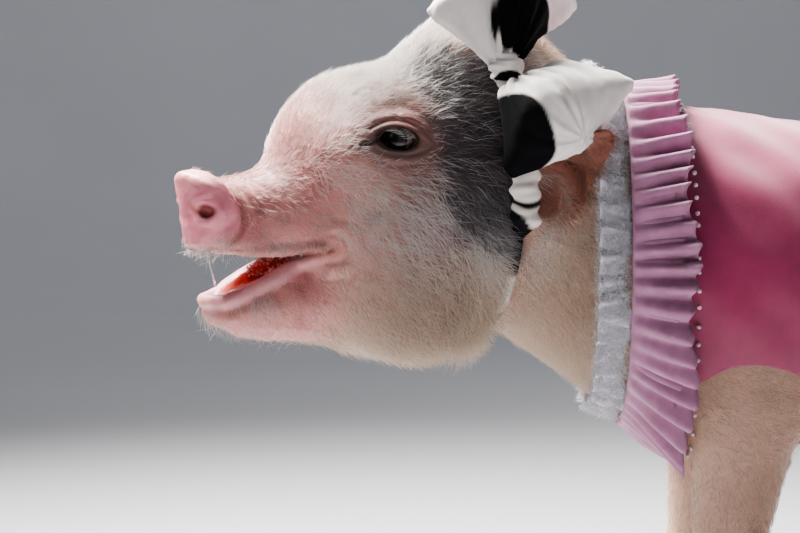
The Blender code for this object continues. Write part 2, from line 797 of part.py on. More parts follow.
def rod(name, points, radii, sides, into, closed=False):
    """A round bar of changing radius along points, from a curve with a bevel."""
    curve = bpy.data.curves.new(name, "CURVE")
    curve.dimensions = "3D"
    curve.bevel_depth = 1.0
    curve.bevel_resolution = (sides - 4) // 2
    curve.use_fill_caps = not closed
    spline = curve.splines.new("POLY")
    spline.points.add(len(points) - 1)
    for spot, point, radius in zip(spline.points, points, radii):
        spot.co = (*point, 1)
        spot.radius = radius
    spline.use_cyclic_u = closed
    guide = bpy.data.objects.new(name + "_guide", curve)
    into.objects.link(guide)
    graph = bpy.context.evaluated_depsgraph_get()
    graph.update()
    mesh = bpy.data.meshes.new_from_object(guide.evaluated_get(graph))
    drop(guide)
    bm = bmesh.new()
    bm.from_mesh(mesh)
    bmesh.ops.remove_doubles(bm, verts=bm.verts, dist=1e-6)
    bmesh.ops.recalc_face_normals(bm, faces=bm.faces)
    bm.to_mesh(mesh)
    bm.free()
    return add_object(name, mesh, into)


# The face's own pieces


def eye_point(side, along, out, up):
    """A point in an eye's frame, in head millimetres."""
    c, s = math.cos(EYE_FORWARD), math.sin(EYE_FORWARD)
    q = np.array([along * c + out * s, out * c - along * s, up]) + EYE_AT
    return q * (1, side, 1)


def make_lids(side, into):
    """The rim of both lids, an almond that lies just off the eyeball."""
    turns = np.linspace(0, 2 * math.pi, LID_POINTS, endpoint=False)
    along = LID_OPENING[0] * np.cos(turns)
    up = LID_OPENING[1] * np.sin(turns) * np.where(turns < math.pi, 1.0, LOWER_LID) + LID_TILT * along
    centre_line = EYE_RADIUS + LID_RADIUS + GAP / MM
    out = np.sqrt(centre_line**2 - along**2 - up**2)
    points = [eye_point(side, *place) for place in zip(along, out, up)]
    return rod("lids", from_head(points), [LID_RADIUS * MM] * LID_POINTS, 6, into, closed=True)


def make_lip(name, height, into):
    """A lip from corner to corner, along the edge of the mouth."""
    angles = np.linspace(-LIP_SPAN / 2, LIP_SPAN / 2, LIP_POINTS)
    out = np.column_stack([np.cos(angles), np.sin(angles), 0 * angles])
    spots = np.tile([float(LIP_MIDDLE), 0, 0], (LIP_POINTS, 1))
    far = np.full(LIP_POINTS, 40.0)
    for _ in range(3):
        spots[:, 2] = height(LIP_MIDDLE + out[:, 0] * far)
        start = from_head(spots)
        heading = (from_head(spots + out) - start) / MM
        far = reach(plain_flesh, start, heading, 0.0) / MM
    line = spots + out * (far - LIP_RADIUS * 0.7)[:, None]
    line = line[line[:, 0] > MOUTH_CORNER[0] - 3]
    ends = np.linspace(-1, 1, len(line))
    radii = LIP_RADIUS * MM * np.interp(ends, [-1, -0.7, 0.7, 1], [0.45, 1, 1, 0.45])
    return rod(name, from_head(line), radii, 6, into)


def lip_height(u, lip):
    """The edge of the mouth's height, so far forward, on one lip."""
    corner_u, corner_z = MOUTH_CORNER
    ramp = np.clip((u - corner_u) / (lip[0] - corner_u), 0, 1)
    return corner_z + ramp * (lip[1] - corner_z)


def upper_lip_height(u):
    return lip_height(u, UPPER_LIP) + LIP_RADIUS * 0.6


def lower_lip_height(u):
    return lip_height(u, LOWER_LIP) - LIP_RADIUS * 0.6


def make_ear(side, into):
    """A leaf-shaped ear, cupped towards its open side, laid back along the neck."""
    root, tip = np.array(EAR_ROOT, float), np.array(EAR_TIP, float)
    axis = unit(tip - root)
    length = np.linalg.norm(tip - root)
    face = np.array(EAR_FACES, float)
    face = unit(face - (face @ axis) * axis)
    across = np.cross(axis, face)
    grid = np.empty((EAR_GRID, EAR_GRID, 3))
    for r, s in enumerate(np.linspace(0, 1, EAR_GRID)):
        belly = 0.42 + 0.58 * math.sin(math.pi * min(s + 0.08, 1) ** 0.9)
        width = EAR_WIDTH / 2 * belly * math.sqrt(max(1 - s**5, 0.02))
        for c, t in enumerate(np.linspace(-1, 1, EAR_GRID)):
            cup = EAR_CUP * (1 - 0.5 * s) * (t**2 - 0.5)
            bow = EAR_BOW * math.sin(math.pi * s)
            grid[r, c] = root + axis * (s * length) + across * (width * t) + face * (cup - bow)
    grid[:, :, 1] *= side
    if side == -1:
        grid = grid[:, ::-1]
    name = "ear_left" if side == 1 else "ear_right"
    points = from_head(grid.reshape(-1, 3)).reshape(grid.shape)
    return grid_shell(name, points, EAR_THICKNESS, into, ring=False)


def make_tongue(into):
    points = ellipsoid_points(*TONGUE, from_head, detail=2)
    return add_object("tongue", mesh_from(hull(points), "tongue"), into)


def tail_line():
    """The tail's middle line: along the rump in an easy curve, with its tip curled out."""
    s = np.linspace(0, 1, 12)
    z = TAIL_Z - TAIL_DROP * s
    start = from_body(np.column_stack([INSIDE_RUMP + 0 * s, 0 * s, z]))
    rump = INSIDE_RUMP + reach(trunk, start, np.tile([1.0, 0, 0], (len(s), 1)), 0.0) / MM
    x = rump + np.interp(s, [0, 0.12, 0.3, 0.75, 1], [-8, 3, 9, 10, 17])
    left = TAIL_SWING * np.sin(s * 5.0)
    return from_body(np.column_stack([x, left, z])), np.array(TAIL_RADII) * MM


def make_tail(into):
    line, radii = tail_line()
    return rod("tail", line, np.linspace(*radii, len(line)), 8, into)


# The bristles


def lock_roots(rows, axis_z, first, last, count, rng):
    """Points on the head's skin, by distance forward and by angle round the head, in millimetres."""
    roots = []
    forward, part = LOCK_SCATTER
    for number, u in enumerate(rows):
        shift = 0.5 * (number % 2)
        for place in range(count):
            step = place + shift + rng.uniform(-part, part)
            turn = first + (last - first) * step / (count - 0.5)
            roots.append((u + rng.uniform(-forward, forward), math.radians(turn)))
    u, turn = np.array(roots).T
    start = from_head(np.column_stack([u, 0 * u, axis_z + 0 * u]))
    out = (from_head(np.column_stack([u, np.sin(turn), axis_z + np.cos(turn)])) - start) / MM
    return start + out * reach(plain_flesh, start, out, 0.0)[:, None]


def lie_of_coat(points):
    """Which way the head's bristles lie, in the world: back, and a little down on the sides."""
    in_head = to_head(points)
    start, drop_over = DROOP_HEIGHTS
    down = LOCK_DROOP * np.clip((start - in_head[:, 2]) / drop_over, 0, 1)
    back = from_head(np.column_stack([in_head[:, 0] - 1, in_head[:, 1], in_head[:, 2] - down]))
    return back - points


def unit_rows(v):
    return v / np.linalg.norm(v, axis=1)[:, None]


def lock(name, rings, tip, into):
    """One closed lock from its three-cornered rings, root first, and its tip."""
    bm = bmesh.new()
    corners = [[bm.verts.new(p) for p in ring] for ring in rings]
    bm.faces.new(corners[0])
    for near, far in zip(corners, corners[1:]):
        for a, b in ((0, 1), (1, 2), (2, 0)):
            bm.faces.new((near[a], near[b], far[b]))
            bm.faces.new((near[a], far[b], far[a]))
    end = bm.verts.new(tip)
    for a, b in ((0, 1), (1, 2), (2, 0)):
        bm.faces.new((corners[-1][a], corners[-1][b], end))
    bmesh.ops.recalc_face_normals(bm, faces=bm.faces)
    return add_object(name, mesh_from(bm, name), into)


def lay_locks(name, field, roots, lie, lengths, width, into):
    """Flat, tapered locks that grow from roots in a field's surface and bend along it."""
    points, last_t, rings = roots, 0.0, []
    for t, up, wide, thick in (*LOCK_RINGS, (1.0, LOCK_TIP_UP, 0.0, 0.0)):
        points = settle(field, points + unit_rows(lie(points)) * (lengths * (t - last_t) * MM)[:, None])
        normal = unit_rows(slope(field, points)[1])
        side = unit_rows(np.cross(normal, lie(points)))
        base = points + normal * up * MM
        across = side * width * wide / 2 * MM
        rings.append(np.stack([base - across, base + across, base + normal * thick * MM], axis=1))
        last_t = t
    return [lock(name, [ring[number] for ring in rings[:-1]], rings[-1][number][0], into)
            for number in range(len(roots))]


def fuse(obj, pieces):
    """Joins closed pieces to an object by one Boolean union, and removes them."""
    group = collection(obj.name + "_pieces")
    for piece in pieces:
        group.objects.link(piece)
    change = obj.modifiers.new("fuse", "BOOLEAN")
    change.operation = "UNION"
    change.operand_type = "COLLECTION"
    change.collection = group
    change.solver = "EXACT"
    apply_modifiers(obj)
    drop(*pieces)
    bpy.data.collections.remove(group)
    return largest_body(obj)


def head_locks(name, rng, into):
    """One group of the head's locks, none longer than its reach allows."""
    *where, length, width = LOCKS[name]
    roots = lock_roots(*where, rng)
    u = to_head(roots)[:, 0]
    lengths = length * rng.uniform(*LOCK_LENGTHS, len(roots))
    lengths = np.minimum(lengths, u - LOCK_ENDS[name] - BAND_CLEAR)
    return lay_locks(name, plain_flesh, roots, lie_of_coat, lengths, width, into)


def tail_locks(into):
    """The tuft on the tail's end: locks round its last third, hanging down."""
    line, radii = tail_line()
    s = np.linspace(*TAIL_TUFT, TAIL_LOCKS)
    middle = np.column_stack([np.interp(s, np.linspace(0, 1, len(line)), line[:, axis]) for axis in range(3)])
    turn = np.arange(TAIL_LOCKS) * TAIL_LOCK_TURN
    out = np.column_stack([np.cos(turn), np.sin(turn), 0 * turn])
    near = np.interp(s, [0, 1], radii)[:, None]
    length, width = TAIL_LOCK
    made = []
    for number in range(TAIL_LOCKS):
        side = np.cross(out[number], (0, 0, 1))
        rings = []
        for t, up, wide, thick in LOCK_RINGS:
            base = middle[number] + out[number] * (near[number] + up * TAIL_LOCK_RISE * MM)
            base[2] -= length * t * MM
            across = side * width * wide / 2 * MM
            rings.append((base - across, base + across, base + out[number] * thick * MM))
        tip = middle[number] + out[number] * near[number]
        tip[2] -= length * MM
        made.append(lock("tail_lock", rings, tip, into))
    return made


# The feet


def make_toe(name, x, left, into):
    """One half of a cloven hoof: a tapered block, flat on the floor."""
    bm = bmesh.new()
    height = TOE_TOP - GAP
    bmesh.ops.create_cone(bm, cap_ends=True, segments=12, radius1=1, radius2=TOE_TAPER, depth=height)
    for vert in bm.verts:
        lean = TOE_LEAN if vert.co.z > 0 else 0.0
        vert.co.x = vert.co.x * TOE_LENGTH / 2 + lean + x
        vert.co.y = vert.co.y * TOE_WIDTH / 2 + BODY_Y - left
        vert.co.z += height / 2
    return add_object(name, mesh_from(bm, name), into)


def make_dewclaw(x, left, into):
    """A small horn behind the foot, above the hoof."""
    points = [from_body((x + back, left, z))[0] for back, z in DEWCLAW]
    return rod("dewclaw", points, DEWCLAW_RADII, 8, into)


# The clothes


def make_bodice(into, cutters):
    """The dress's body: a shell round the trunk, with a hole for each foreleg."""
    xs = np.linspace(COLLAR_X, WAIST_X, BODICE_GRID[0])
    angles = np.linspace(0, 2 * math.pi, BODICE_GRID[1], endpoint=False)
    grid = np.array([around_trunk(x, angles, BODICE_OFF) for x in xs])
    bodice = grid_shell("dress_bodice", grid, CLOTH, into)
    for side in (1, -1):
        place, size = ARM_HOLE
        hole = hull(ellipsoid_points(np.array(place) * (1, side, 1), size, from_body, detail=2))
        hole = add_object("arm_hole", mesh_from(hole, "arm_hole"), cutters)
        combine(bodice, hole, "DIFFERENCE")
        drop(hole)
    return bodice


def frill(name, into):
    """A pleated strip round the trunk, from its row in FRILLS."""
    start, forward, offsets, waves, pleats, per_pleat, degrees = FRILLS[name]
    ring = degrees == 360
    span = math.radians(degrees)
    count = pleats * per_pleat + (0 if ring else 1)
    angles = np.linspace(-span / 2, span / 2, count, endpoint=not ring)
    turn = angles * pleats * 2 * math.pi / span
    flat_back = 0 if ring else SKIRT_REST * np.cos(angles / 2) ** 8
    rows = []
    for x, off, wave in zip(forward, offsets, waves):
        flare = off * (1 - flat_back * (off > SKIRT_FLARES))
        rows.append(around_trunk(start + x, angles, flare + wave * np.sin(turn)))
    return grid_shell(name, np.array(rows), FRILL, into, ring=ring)


def band_points(field):
    """The rows of the headband's inner face, round the head."""
    angles = np.linspace(0, 2 * math.pi, BAND_POINTS, endpoint=False)
    rows = []
    for u in (BAND_U - BAND_WIDTH / 2, BAND_U, BAND_U + BAND_WIDTH / 2):
        start = from_head([(u, 0, BAND_AXIS_Z)] * len(angles))
        tips = from_head([(u, math.sin(a), BAND_AXIS_Z + math.cos(a)) for a in angles])
        out = (tips - start) / MM
        far = reach(field, start, out, 0.0)
        rows.append(start + out * (far + BAND_OFF * MM)[:, None])
    return np.array(rows)


def pillow(name, corners, middle, radii, into):
    """A stuffed lobe: a hull round small corners and a fat middle."""
    balls = [ellipsoid_points(corner, (LOBE_CORNER,) * 3, from_head) for corner in corners]
    balls.append(ellipsoid_points(middle, radii, from_head))
    obj = add_object(name, mesh_from(hull(np.concatenate(balls)), name), into)
    remeshed(obj, LOBE_VOXEL)
    return decimated(obj, LOBE_TRIANGLES)


def paint(obj, kind):
    """Gives an object the one material of its kind, and smooth faces with sharp edges kept."""
    made = bpy.data.materials.get(kind) or material(kind, *PAINTS[kind])
    obj.data.materials.clear()
    obj.data.materials.append(made)
    obj.data.shade_smooth()
    obj.data.set_sharp_from_angle(angle=math.radians(50))
    return obj


# The nodes


def build_head(body, pig, cutters):
    """The head with its lids, lips and eyes, then the jaw and the snout parted from it."""
    head = make_head(body, pig, cutters)
    for side, word in SIDES:
        rim = make_lids(side, cutters)
        combine(head, rim, "UNION")
        drop(rim)
        centre = from_head(np.array(EYE_AT) * (1, side, 1))[0]
        paint(ball(f"eye_{word}", centre, EYE_RADIUS * MM, pig), "eye")
    for name, height in (("upper_lip", upper_lip_height), ("lower_lip", lower_lip_height)):
        lip = make_lip(name, height, cutters)
        combine(head, lip, "UNION")
        drop(lip)
    back, top = JAW_CUT
    front_top = top - (PAST_SNOUT - back) * JAW_CUT_FALL
    corners = [(back, top), (PAST_SNOUT, front_top), (PAST_SNOUT, UNDER_JAW), (back, UNDER_JAW)]
    wedge = hull(from_head([(u, side * PAST_CHEEK, z) for side in (1, -1) for u, z in corners]))
    region = add_object("jaw_region", mesh_from(wedge, "jaw_region"), cutters)
    jaw = part_off(head, region, "lower_jaw", pig, cutters)
    snout_at = from_head((SNOUT_CUT, 0, NOSE_AT[2]))[0]
    snout = split(head, snout_at, head_axis(1, 0), "snout", pig, cutters)
    rng = np.random.default_rng(SEED)
    fuse(head, [piece for name in ("crest", "jowls", "nape") for piece in head_locks(name, rng, cutters)])
    fuse(jaw, head_locks("chin", rng, cutters))
    return [head, jaw, snout]


def build_legs(body, pig, cutters):
    """Parts the legs from the body; each gets its two dewclaws and ends above its hoof."""
    legs = []
    for name, (back, front, top, foot_x) in LEGS.items():
        for side, word in SIDES:
            ends = from_body([(back, side * LEG_INSIDE, LEG_UNDER), (front, side * LEG_OUTSIDE, top)])
            region = box("leg_box", ends.min(axis=0), ends.max(axis=0), cutters)
            leg = part_off(body, region, f"{name}_{word}", pig, cutters)
            trim(leg, (0, 0, TOE_TOP), (0, 0, 1), cutters)
            for out in (-1, 1):
                claw = make_dewclaw(foot_x / MM, side * FOOT_OUT / MM + out * DEWCLAW_OUT, cutters)
                combine(leg, claw, "UNION")
                drop(claw)
            legs.append(leg)
    return legs


def build_hooves(pig):
    for name, foot_x in (("front", FRONT_FOOT_X), ("hind", HIND_FOOT_X)):
        for side, word in SIDES:
            for out, place in ((1, "outer"), (-1, "inner")):
                left = side * (FOOT_OUT + out * (TOE_WIDTH + TOE_PART) / 2)
                toe = make_toe(f"hoof_{name}_{word}_{place}", foot_x - TOE_FORWARD, left, pig)
                paint(toe, "hoof")


def build_bow(head, neck, pig, cutters):
    """The headband, the ears, then the knot and the two lobes, each clear of what it lies on."""
    band = paint(grid_shell("headband", band_points(plain_flesh)[::-1], BAND_THICKNESS, pig), "bow")
    ears = [cut_clear(make_ear(side, pig), [head, neck, band], cutters) for side, _ in SIDES]
    for ear in ears:
        paint(ear, "ear")
    knot_hull = hull(ellipsoid_points(*KNOT, from_head, detail=2))
    knot = add_object("bow_knot", mesh_from(knot_hull, "bow_knot"), pig)
    paint(cut_clear(knot, [head, band], cutters), "bow")
    for name, (corners, middle, radii) in LOBES.items():
        lobe = pillow(name, corners, middle, radii, pig)
        cut_clear(lobe, [head, neck, band, knot, *ears], cutters, gap=CLOTH_GAP)
        paint(lobe, "bow")
    return ears


def build():
    clear_scene()
    pig = collection("miniature_pig")
    cutters = collection("cutters")

    body = make_flesh(pig)
    head, jaw, snout = build_head(body, pig, cutters)
    trim(body, on_neck(NECK_CUT - GAP / MM), head_axis(-1, 0), cutters)
    decimated(body, BODY_TRIANGLES)
    legs = build_legs(body, pig, cutters)
    neck = split(body, (NECK_END_X, BODY_Y, TRUNK_AXIS_Z), (-1, 0, 0), "neck", pig, cutters)
    body.name = "torso"
    for node in (head, jaw, snout, neck, body, *legs):
        paint(node, "skin")
    build_hooves(pig)
    paint(cut_clear(make_tongue(pig), [jaw, head], cutters), "tongue")
    tail = cut_clear(make_tail(pig), [body], cutters)
    paint(fuse(tail, tail_locks(cutters)), "skin")

    paint(cut_clear(make_bodice(pig, cutters), legs[:2], cutters), "satin")
    paint(frill("dress_collar_ruffle", pig), "tulle")
    paint(frill("dress_skirt", pig), "tulle")
    lace = paint(frill("dress_lace", pig), "lace")
    ears = build_bow(head, neck, pig, cutters)
    cut_clear(lace, ears, cutters, gap=CLOTH_GAP)
    bpy.data.collections.remove(cutters)


if __name__ == "__main__":
    build()
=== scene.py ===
"""The looks of the miniature pig: skin, bristles, eyes, hooves, bow and dress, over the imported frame.

Metres, +Z up, the body faces -X. The flesh is the same blend of named forms as in the CAD source,
set in by the depth of the coat, with the folds of the face added.
"""
import math

import bmesh
import bpy
import numpy as np
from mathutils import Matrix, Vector


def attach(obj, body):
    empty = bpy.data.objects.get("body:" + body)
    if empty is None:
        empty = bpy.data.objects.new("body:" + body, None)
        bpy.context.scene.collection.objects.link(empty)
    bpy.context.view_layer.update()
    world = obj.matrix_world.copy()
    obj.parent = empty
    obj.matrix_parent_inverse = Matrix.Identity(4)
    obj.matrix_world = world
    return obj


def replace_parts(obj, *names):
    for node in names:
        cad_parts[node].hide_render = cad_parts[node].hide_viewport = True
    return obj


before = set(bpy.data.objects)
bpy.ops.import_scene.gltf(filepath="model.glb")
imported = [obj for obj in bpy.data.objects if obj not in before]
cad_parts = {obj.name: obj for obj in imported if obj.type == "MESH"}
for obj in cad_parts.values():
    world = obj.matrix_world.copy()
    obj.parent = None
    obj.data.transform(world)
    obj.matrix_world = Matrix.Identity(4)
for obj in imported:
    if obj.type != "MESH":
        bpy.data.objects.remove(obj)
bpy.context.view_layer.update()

MM = 0.001
# Where the head and the trunk are
HEAD_TURN = math.radians(27)    # the head's turn to its own left
HEAD_AT = (-0.2014, -0.0400)    # the point between the eyes, seen from above
BODY_Y = 0.0                    # the trunk's middle plane

# The eye and the nose
EYE_AT = (-4, 36.5, 300)        # the left eyeball's centre: forward, left, up from the floor
EYE_RADIUS = 11.0
EYE_FORWARD = math.radians(27)  # how far the eye looks forward of straight sideways
LID_OPENING = (9.0, 5.2)        # half the length and half the height of the opening
LID_DEPTH = 7.0                 # how deep the lids' edge is cut, half of it
EYE_BULGE = 2.6                 # how far the flesh of the lids stands off the eyeball
EYE_ROOM = 0.9                  # and how far the socket's wall does
NOSE_AT = (87, 0, 265.5)        # the middle of the nose disc
NOSE_RADIUS = 21.0
NOSE_WIDE = 1.1                 # its width against its height
NOSE_BEND = 26.0                # the radius that bends its sides back
NOSE_TILT = math.radians(9)     # the disc's top edge leans forward
NOSE_THICKNESS = 14.0
NOSE_RIM = 4.5
NOSTRIL = ((8, 17.0, 0.5), (-8, 12.0, 0.5), (3.5, 2.7), (2.0, 1.7))   # its ends and half sizes

# The mouth: the corner, and the lips' height further forward
MOUTH_CORNER = (31, 247.5)
UPPER_LIP = (60, 245)
LOWER_LIP = (76, 224.5)
MOUTH_HOLLOW = ((50, 0, 236), (30, 13, 12))   # its centre, and half its size
PAST_SNOUT = 130                # a forward distance that clears the snout
PAST_CHEEK = 90                 # and one to the side that clears the cheeks

# The feet
TOE_TOP = 0.024
FRONT_FOOT_X = -0.014
HIND_FOOT_X = 0.222
FOOT_OUT = 0.045
TOE_FORWARD = 0.004             # how far the hoof lies ahead of the foot's middle
TOE_LENGTH = 0.030
TOE_WIDTH = 0.0122
TOE_LEAN = 0.0035
TOE_PART = 0.0010               # the cleft between the two halves of a hoof
DEWCLAW = ((6, 40), (15, 27))   # its root and its tip, behind the foot and up from the floor
DEWCLAW_OUT = 7

# Lids, lips, ears and tongue
LID_TILT = 0.08                 # how much the front corner lies higher, by its length
LOWER_LID = 0.8                 # the opening's height under its middle, against that over it
LIP_RADIUS = 2.6
LIP_MIDDLE = 44                 # where the rays that find the lips start, forward
LIP_SPAN = math.radians(256)
EAR_ROOT = (-68, 51, 263)
EAR_TIP = (-92, 95, 306)
EAR_FACES = (0.45, 0.8, -0.2)  # where the cup opens to
EAR_WIDTH = 42
EAR_CUP = 9.0
EAR_BOW = 3.0                   # how far the ear's middle bends back
TONGUE = ((52, 0, 228), (22, 11, 5))

# The tail
TAIL_Z = 282
TAIL_DROP = 80
TAIL_SWING = 7
TAIL_RADII = (5.6, 2.2)
INSIDE_RUMP = 200.0             # an X inside the rump, where the rays that find it start

# The dress, round the trunk
TRUNK_AXIS_Z = 0.235
COLLAR_X = -0.0665
WAIST_X = 0.100
BODICE_OFF = 2.8                # how far the cloth stands off the skin, in millimetres
ARM_HOLE = ((-8, 56, 146), (44, 44, 52))
SKIRT_REST = 0.55               # how much less the skirt stands off along the back
SKIRT_FLARES = 20               # the offset from which it does so
FRILLS = {                      # start, rows along X, offsets, waves, pleats, points to one, degrees
    "dress_collar_ruffle": (COLLAR_X, (0, 0.012, 0.026), (5.8, 10.0, 13.5), (0.3, 1.6, 2.6), 20, 3, 360),
    "dress_lace": (COLLAR_X, (-0.016, -0.009, -0.002), (6.5, 4.0, 1.6), (1.2, 0.8, 0.3), 18, 3, 360),
    "dress_skirt": (WAIST_X, (-0.014, 0.024, 0.062), (6.0, 21.0, 36.0), (0.5, 3.0, 4.5), 18, 4, 250),
}

# The headband and its bow, in head millimetres
BAND_U = -59
BAND_WIDTH = 15
BAND_AXIS_Z = 282
BAND_OFF = 1.6
KNOT = ((-56, 51, 336), (9, 9, 10))
LOBES = {
    "bow_lobe_near": (((-52, 60, 322), (-53, 66, 287), (-106, 80, 327), (-80, 66, 335)),
                      (-72, 75, 312), (23, 14, 20)),
    "bow_lobe_far": (((-55, 50, 340), (-29, 33, 364), (-104, 30, 369), (-74, 18, 399)),
                     (-62, 40, 368), (24, 14, 24)),
}

LOBE_CORNER = 4.5
ROUGH_NECK_END = 40
BODY_BLEND = 26.0
SIDES = ((1, "left"), (-1, "right"))


def unit(v):
    v = np.asarray(v, float)
    return v / np.linalg.norm(v)


def from_head(points):
    """Millimetres forward, left and up in the head's frame, to metres in the world."""
    p = np.atleast_2d(np.asarray(points, float)) * MM
    c, s = math.cos(HEAD_TURN), math.sin(HEAD_TURN)
    x = HEAD_AT[0] - p[:, 0] * c + p[:, 1] * s
    y = HEAD_AT[1] - p[:, 0] * s - p[:, 1] * c
    return np.column_stack([x, y, p[:, 2]])


def to_head(points):
    """Metres in the world, to millimetres forward, left and up in the head's frame."""
    dx = points[:, 0] - HEAD_AT[0]
    dy = points[:, 1] - HEAD_AT[1]
    c, s = math.cos(HEAD_TURN), math.sin(HEAD_TURN)
    return np.column_stack([-dx * c - dy * s, dx * s - dy * c, points[:, 2]]) / MM


def from_body(points):
    """Millimetres along, left of and above the trunk's middle line on the floor, to metres."""
    p = np.atleast_2d(np.asarray(points, float)) * MM
    return np.column_stack([p[:, 0], BODY_Y - p[:, 1], p[:, 2]])


def to_body(points):
    return np.column_stack([points[:, 0], BODY_Y - points[:, 1], points[:, 2]]) / MM


def blob(p, centre, radii):
    """An ellipsoid."""
    q = p - np.asarray(centre, float)
    r = np.asarray(radii, float)
    k0 = np.linalg.norm(q / r, axis=1)
    k1 = np.linalg.norm(q / r**2, axis=1)
    return k0 * (k0 - 1) / np.maximum(k1, 1e-9)


def tube(p, start, end, start_radii, end_radii):
    """A tapered round-ended bar, with its half width to the left and its half height at each end."""
    a, b = np.asarray(start, float), np.asarray(end, float)
    length = np.linalg.norm(b - a)
    along = (b - a) / length
    left = unit(np.cross([0, 0, 1], along) if abs(along[2]) < 0.9 else np.cross(along, [1, 0, 0]))
    up = np.cross(along, left)
    q = p - a
    t = np.clip(q @ along / length, 0, 1)
    wide = start_radii[0] + (end_radii[0] - start_radii[0]) * t
    high = start_radii[1] + (end_radii[1] - start_radii[1]) * t
    rest = (q @ along) - t * length
    x, y, z = q @ left / wide, q @ up / high, rest / np.minimum(wide, high)
    k0 = np.sqrt(x**2 + y**2 + z**2)
    k1 = np.sqrt((x / wide) ** 2 + (y / high) ** 2 + (z / np.minimum(wide, high)) ** 2)
    return k0 * (k0 - 1) / np.maximum(k1, 1e-9)


def join(a, b, k):
    """A smooth union that rounds the crease over about k."""
    h = np.clip(0.5 + 0.5 * (b - a) / k, 0, 1)
    return b + (a - b) * h - k * h * (1 - h)


def carve(a, b, k):
    """Takes b out of a, with an edge rounded over about k."""
    return -join(-a, b, k)


# The forms of the flesh. Each row: kind, sizes, and how widely it blends into the rows before it.
# Those of the head are forward, left, up; rows off the middle stand on both sides.
HEAD_FORMS = [
    ("blob", (-9, 0, 291), (55, 46, 47), 1),                         # forehead
    ("blob", (-66, 0, 313), (48, 46, 54), 24),                       # poll
    ("blob", (-52, 0, 268), (52, 54, 56), 26),                       # back of the skull
    ("blob", (-20, 25, 249), (53, 32, 60), 22),                      # cheek and jowl
    ("blob", (8, 30, 291), (24, 18, 20), 16),                        # brow and cheekbone
    ("tube", (12, 0, 262), (70, 0, 262), (38, 34), (21.5, 20), 16),  # muzzle
    ("tube", (0, 0, 225), (75, 0, 216), (34, 31), (18.5, 10.5), 12),  # lower jaw
]
BODY_FORMS = [
    ("blob", (-8, 0, 230), (86, 68, 80), 1),                         # chest
    ("blob", (88, 0, 221), (112, 76, 85), 30),                       # belly
    ("blob", (196, 0, 233), (82, 70, 77), 30),                       # rump
    ("blob", (-14, 44, 205), (46, 30, 66), 22),                      # shoulder
    ("blob", (208, 40, 196), (54, 34, 70), 24),                      # ham
    ("tube", (-6, 44, 165), (-16, 45, 80), (25, 28), (15, 16), 16),  # upper foreleg
    ("tube", (-16, 45, 80), (-15, 45, 30), (14.5, 15), (12.5, 13.5), 5),
    ("tube", (212, 44, 172), (238, 45, 92), (30, 36), (14.5, 17), 18),  # gaskin
    ("tube", (238, 45, 92), (224, 45, 34), (14.5, 17), (13, 14), 5),
]
NECK_FROM = (-62, 0, 290)
NECK_FROM_RADII = (54, 66)
NECK_TO = (-40, 0, 232)
NECK_TO_RADII = (64, 73)


def both_sides(points):
    """The points with those right of the middle plane mirrored to its left."""
    return np.column_stack([points[:, 0], abs(points[:, 1]), points[:, 2]])


def form_distance(row, points):
    """One row's distance field, in millimetres; rows off the middle stand on both sides."""
    folded = both_sides(points) if row[1][1] else points
    kind = blob if row[0] == "blob" else tube
    return kind(folded, *row[1:-1])


def nose_frame(p):
    """Head millimetres in the nose disc's own frame: out of the face, left, up its face."""
    q = p - np.asarray(NOSE_AT, float)
    c, s = math.cos(NOSE_TILT), math.sin(NOSE_TILT)
    out = q[:, 0] * c - q[:, 2] * s + q[:, 1] ** 2 / (2 * NOSE_BEND)
    return np.column_stack([out, q[:, 1], q[:, 2] * c + q[:, 0] * s])


def nose_distance(p):
    """A disc with a rounded rim."""
    q = nose_frame(p)
    across = np.hypot(q[:, 1] / NOSE_WIDE, q[:, 2])
    past_rim = across - (NOSE_RADIUS - NOSE_RIM)
    past_face = abs(q[:, 0]) - (NOSE_THICKNESS / 2 - NOSE_RIM)
    flat = np.column_stack([past_rim, past_face])
    outside = np.linalg.norm(np.maximum(flat, 0), axis=1)
    return outside + np.minimum(flat.max(axis=1), 0) - NOSE_RIM


def nostril_distance(p):
    return tube(both_sides(nose_frame(p)), *NOSTRIL)


def mouth_distance(p):
    """The open mouth: a wedge between the lips, and the hollow behind them."""
    corner_u, corner_z = MOUTH_CORNER
    up_slope = (UPPER_LIP[1] - corner_z) / (UPPER_LIP[0] - corner_u)
    low_slope = (LOWER_LIP[1] - corner_z) / (LOWER_LIP[0] - corner_u)
    ahead = p[:, 0] - corner_u
    top = corner_z + np.maximum(ahead * up_slope, UPPER_LIP[1] - corner_z)
    low = corner_z + np.maximum(ahead * low_slope, LOWER_LIP[1] - corner_z)
    wedge = np.max([p[:, 2] - top, low - p[:, 2], -ahead], axis=0)
    hollow = blob(p, *MOUTH_HOLLOW)
    return join(wedge * 0.9, hollow, 3)


def eye_frame(p):
    """Head millimetres in the eye's frame: forward along the lids, out of the eye, up."""
    q = p - np.asarray(EYE_AT, float)
    c, s = math.cos(EYE_FORWARD), math.sin(EYE_FORWARD)
    return np.column_stack([q[:, 0] * c - q[:, 1] * s, q[:, 1] * c + q[:, 0] * s, q[:, 2]])


def head_distance(points):
    """The head's flesh without its openings, in millimetres, for points in the head's frame."""
    f = form_distance(HEAD_FORMS[0], points)
    for row in HEAD_FORMS[1:]:
        f = join(f, form_distance(row, points), row[-1])
    f = join(f, nose_distance(points), 3.5)
    return join(f, eye_distance(points) - EYE_BULGE, 7)


def off_eye(points):
    """Millimetres from the nearer eye's centre, in the head's frame."""
    return np.linalg.norm(both_sides(points) - EYE_AT, axis=1)


def eye_distance(points):
    return off_eye(points) - EYE_RADIUS


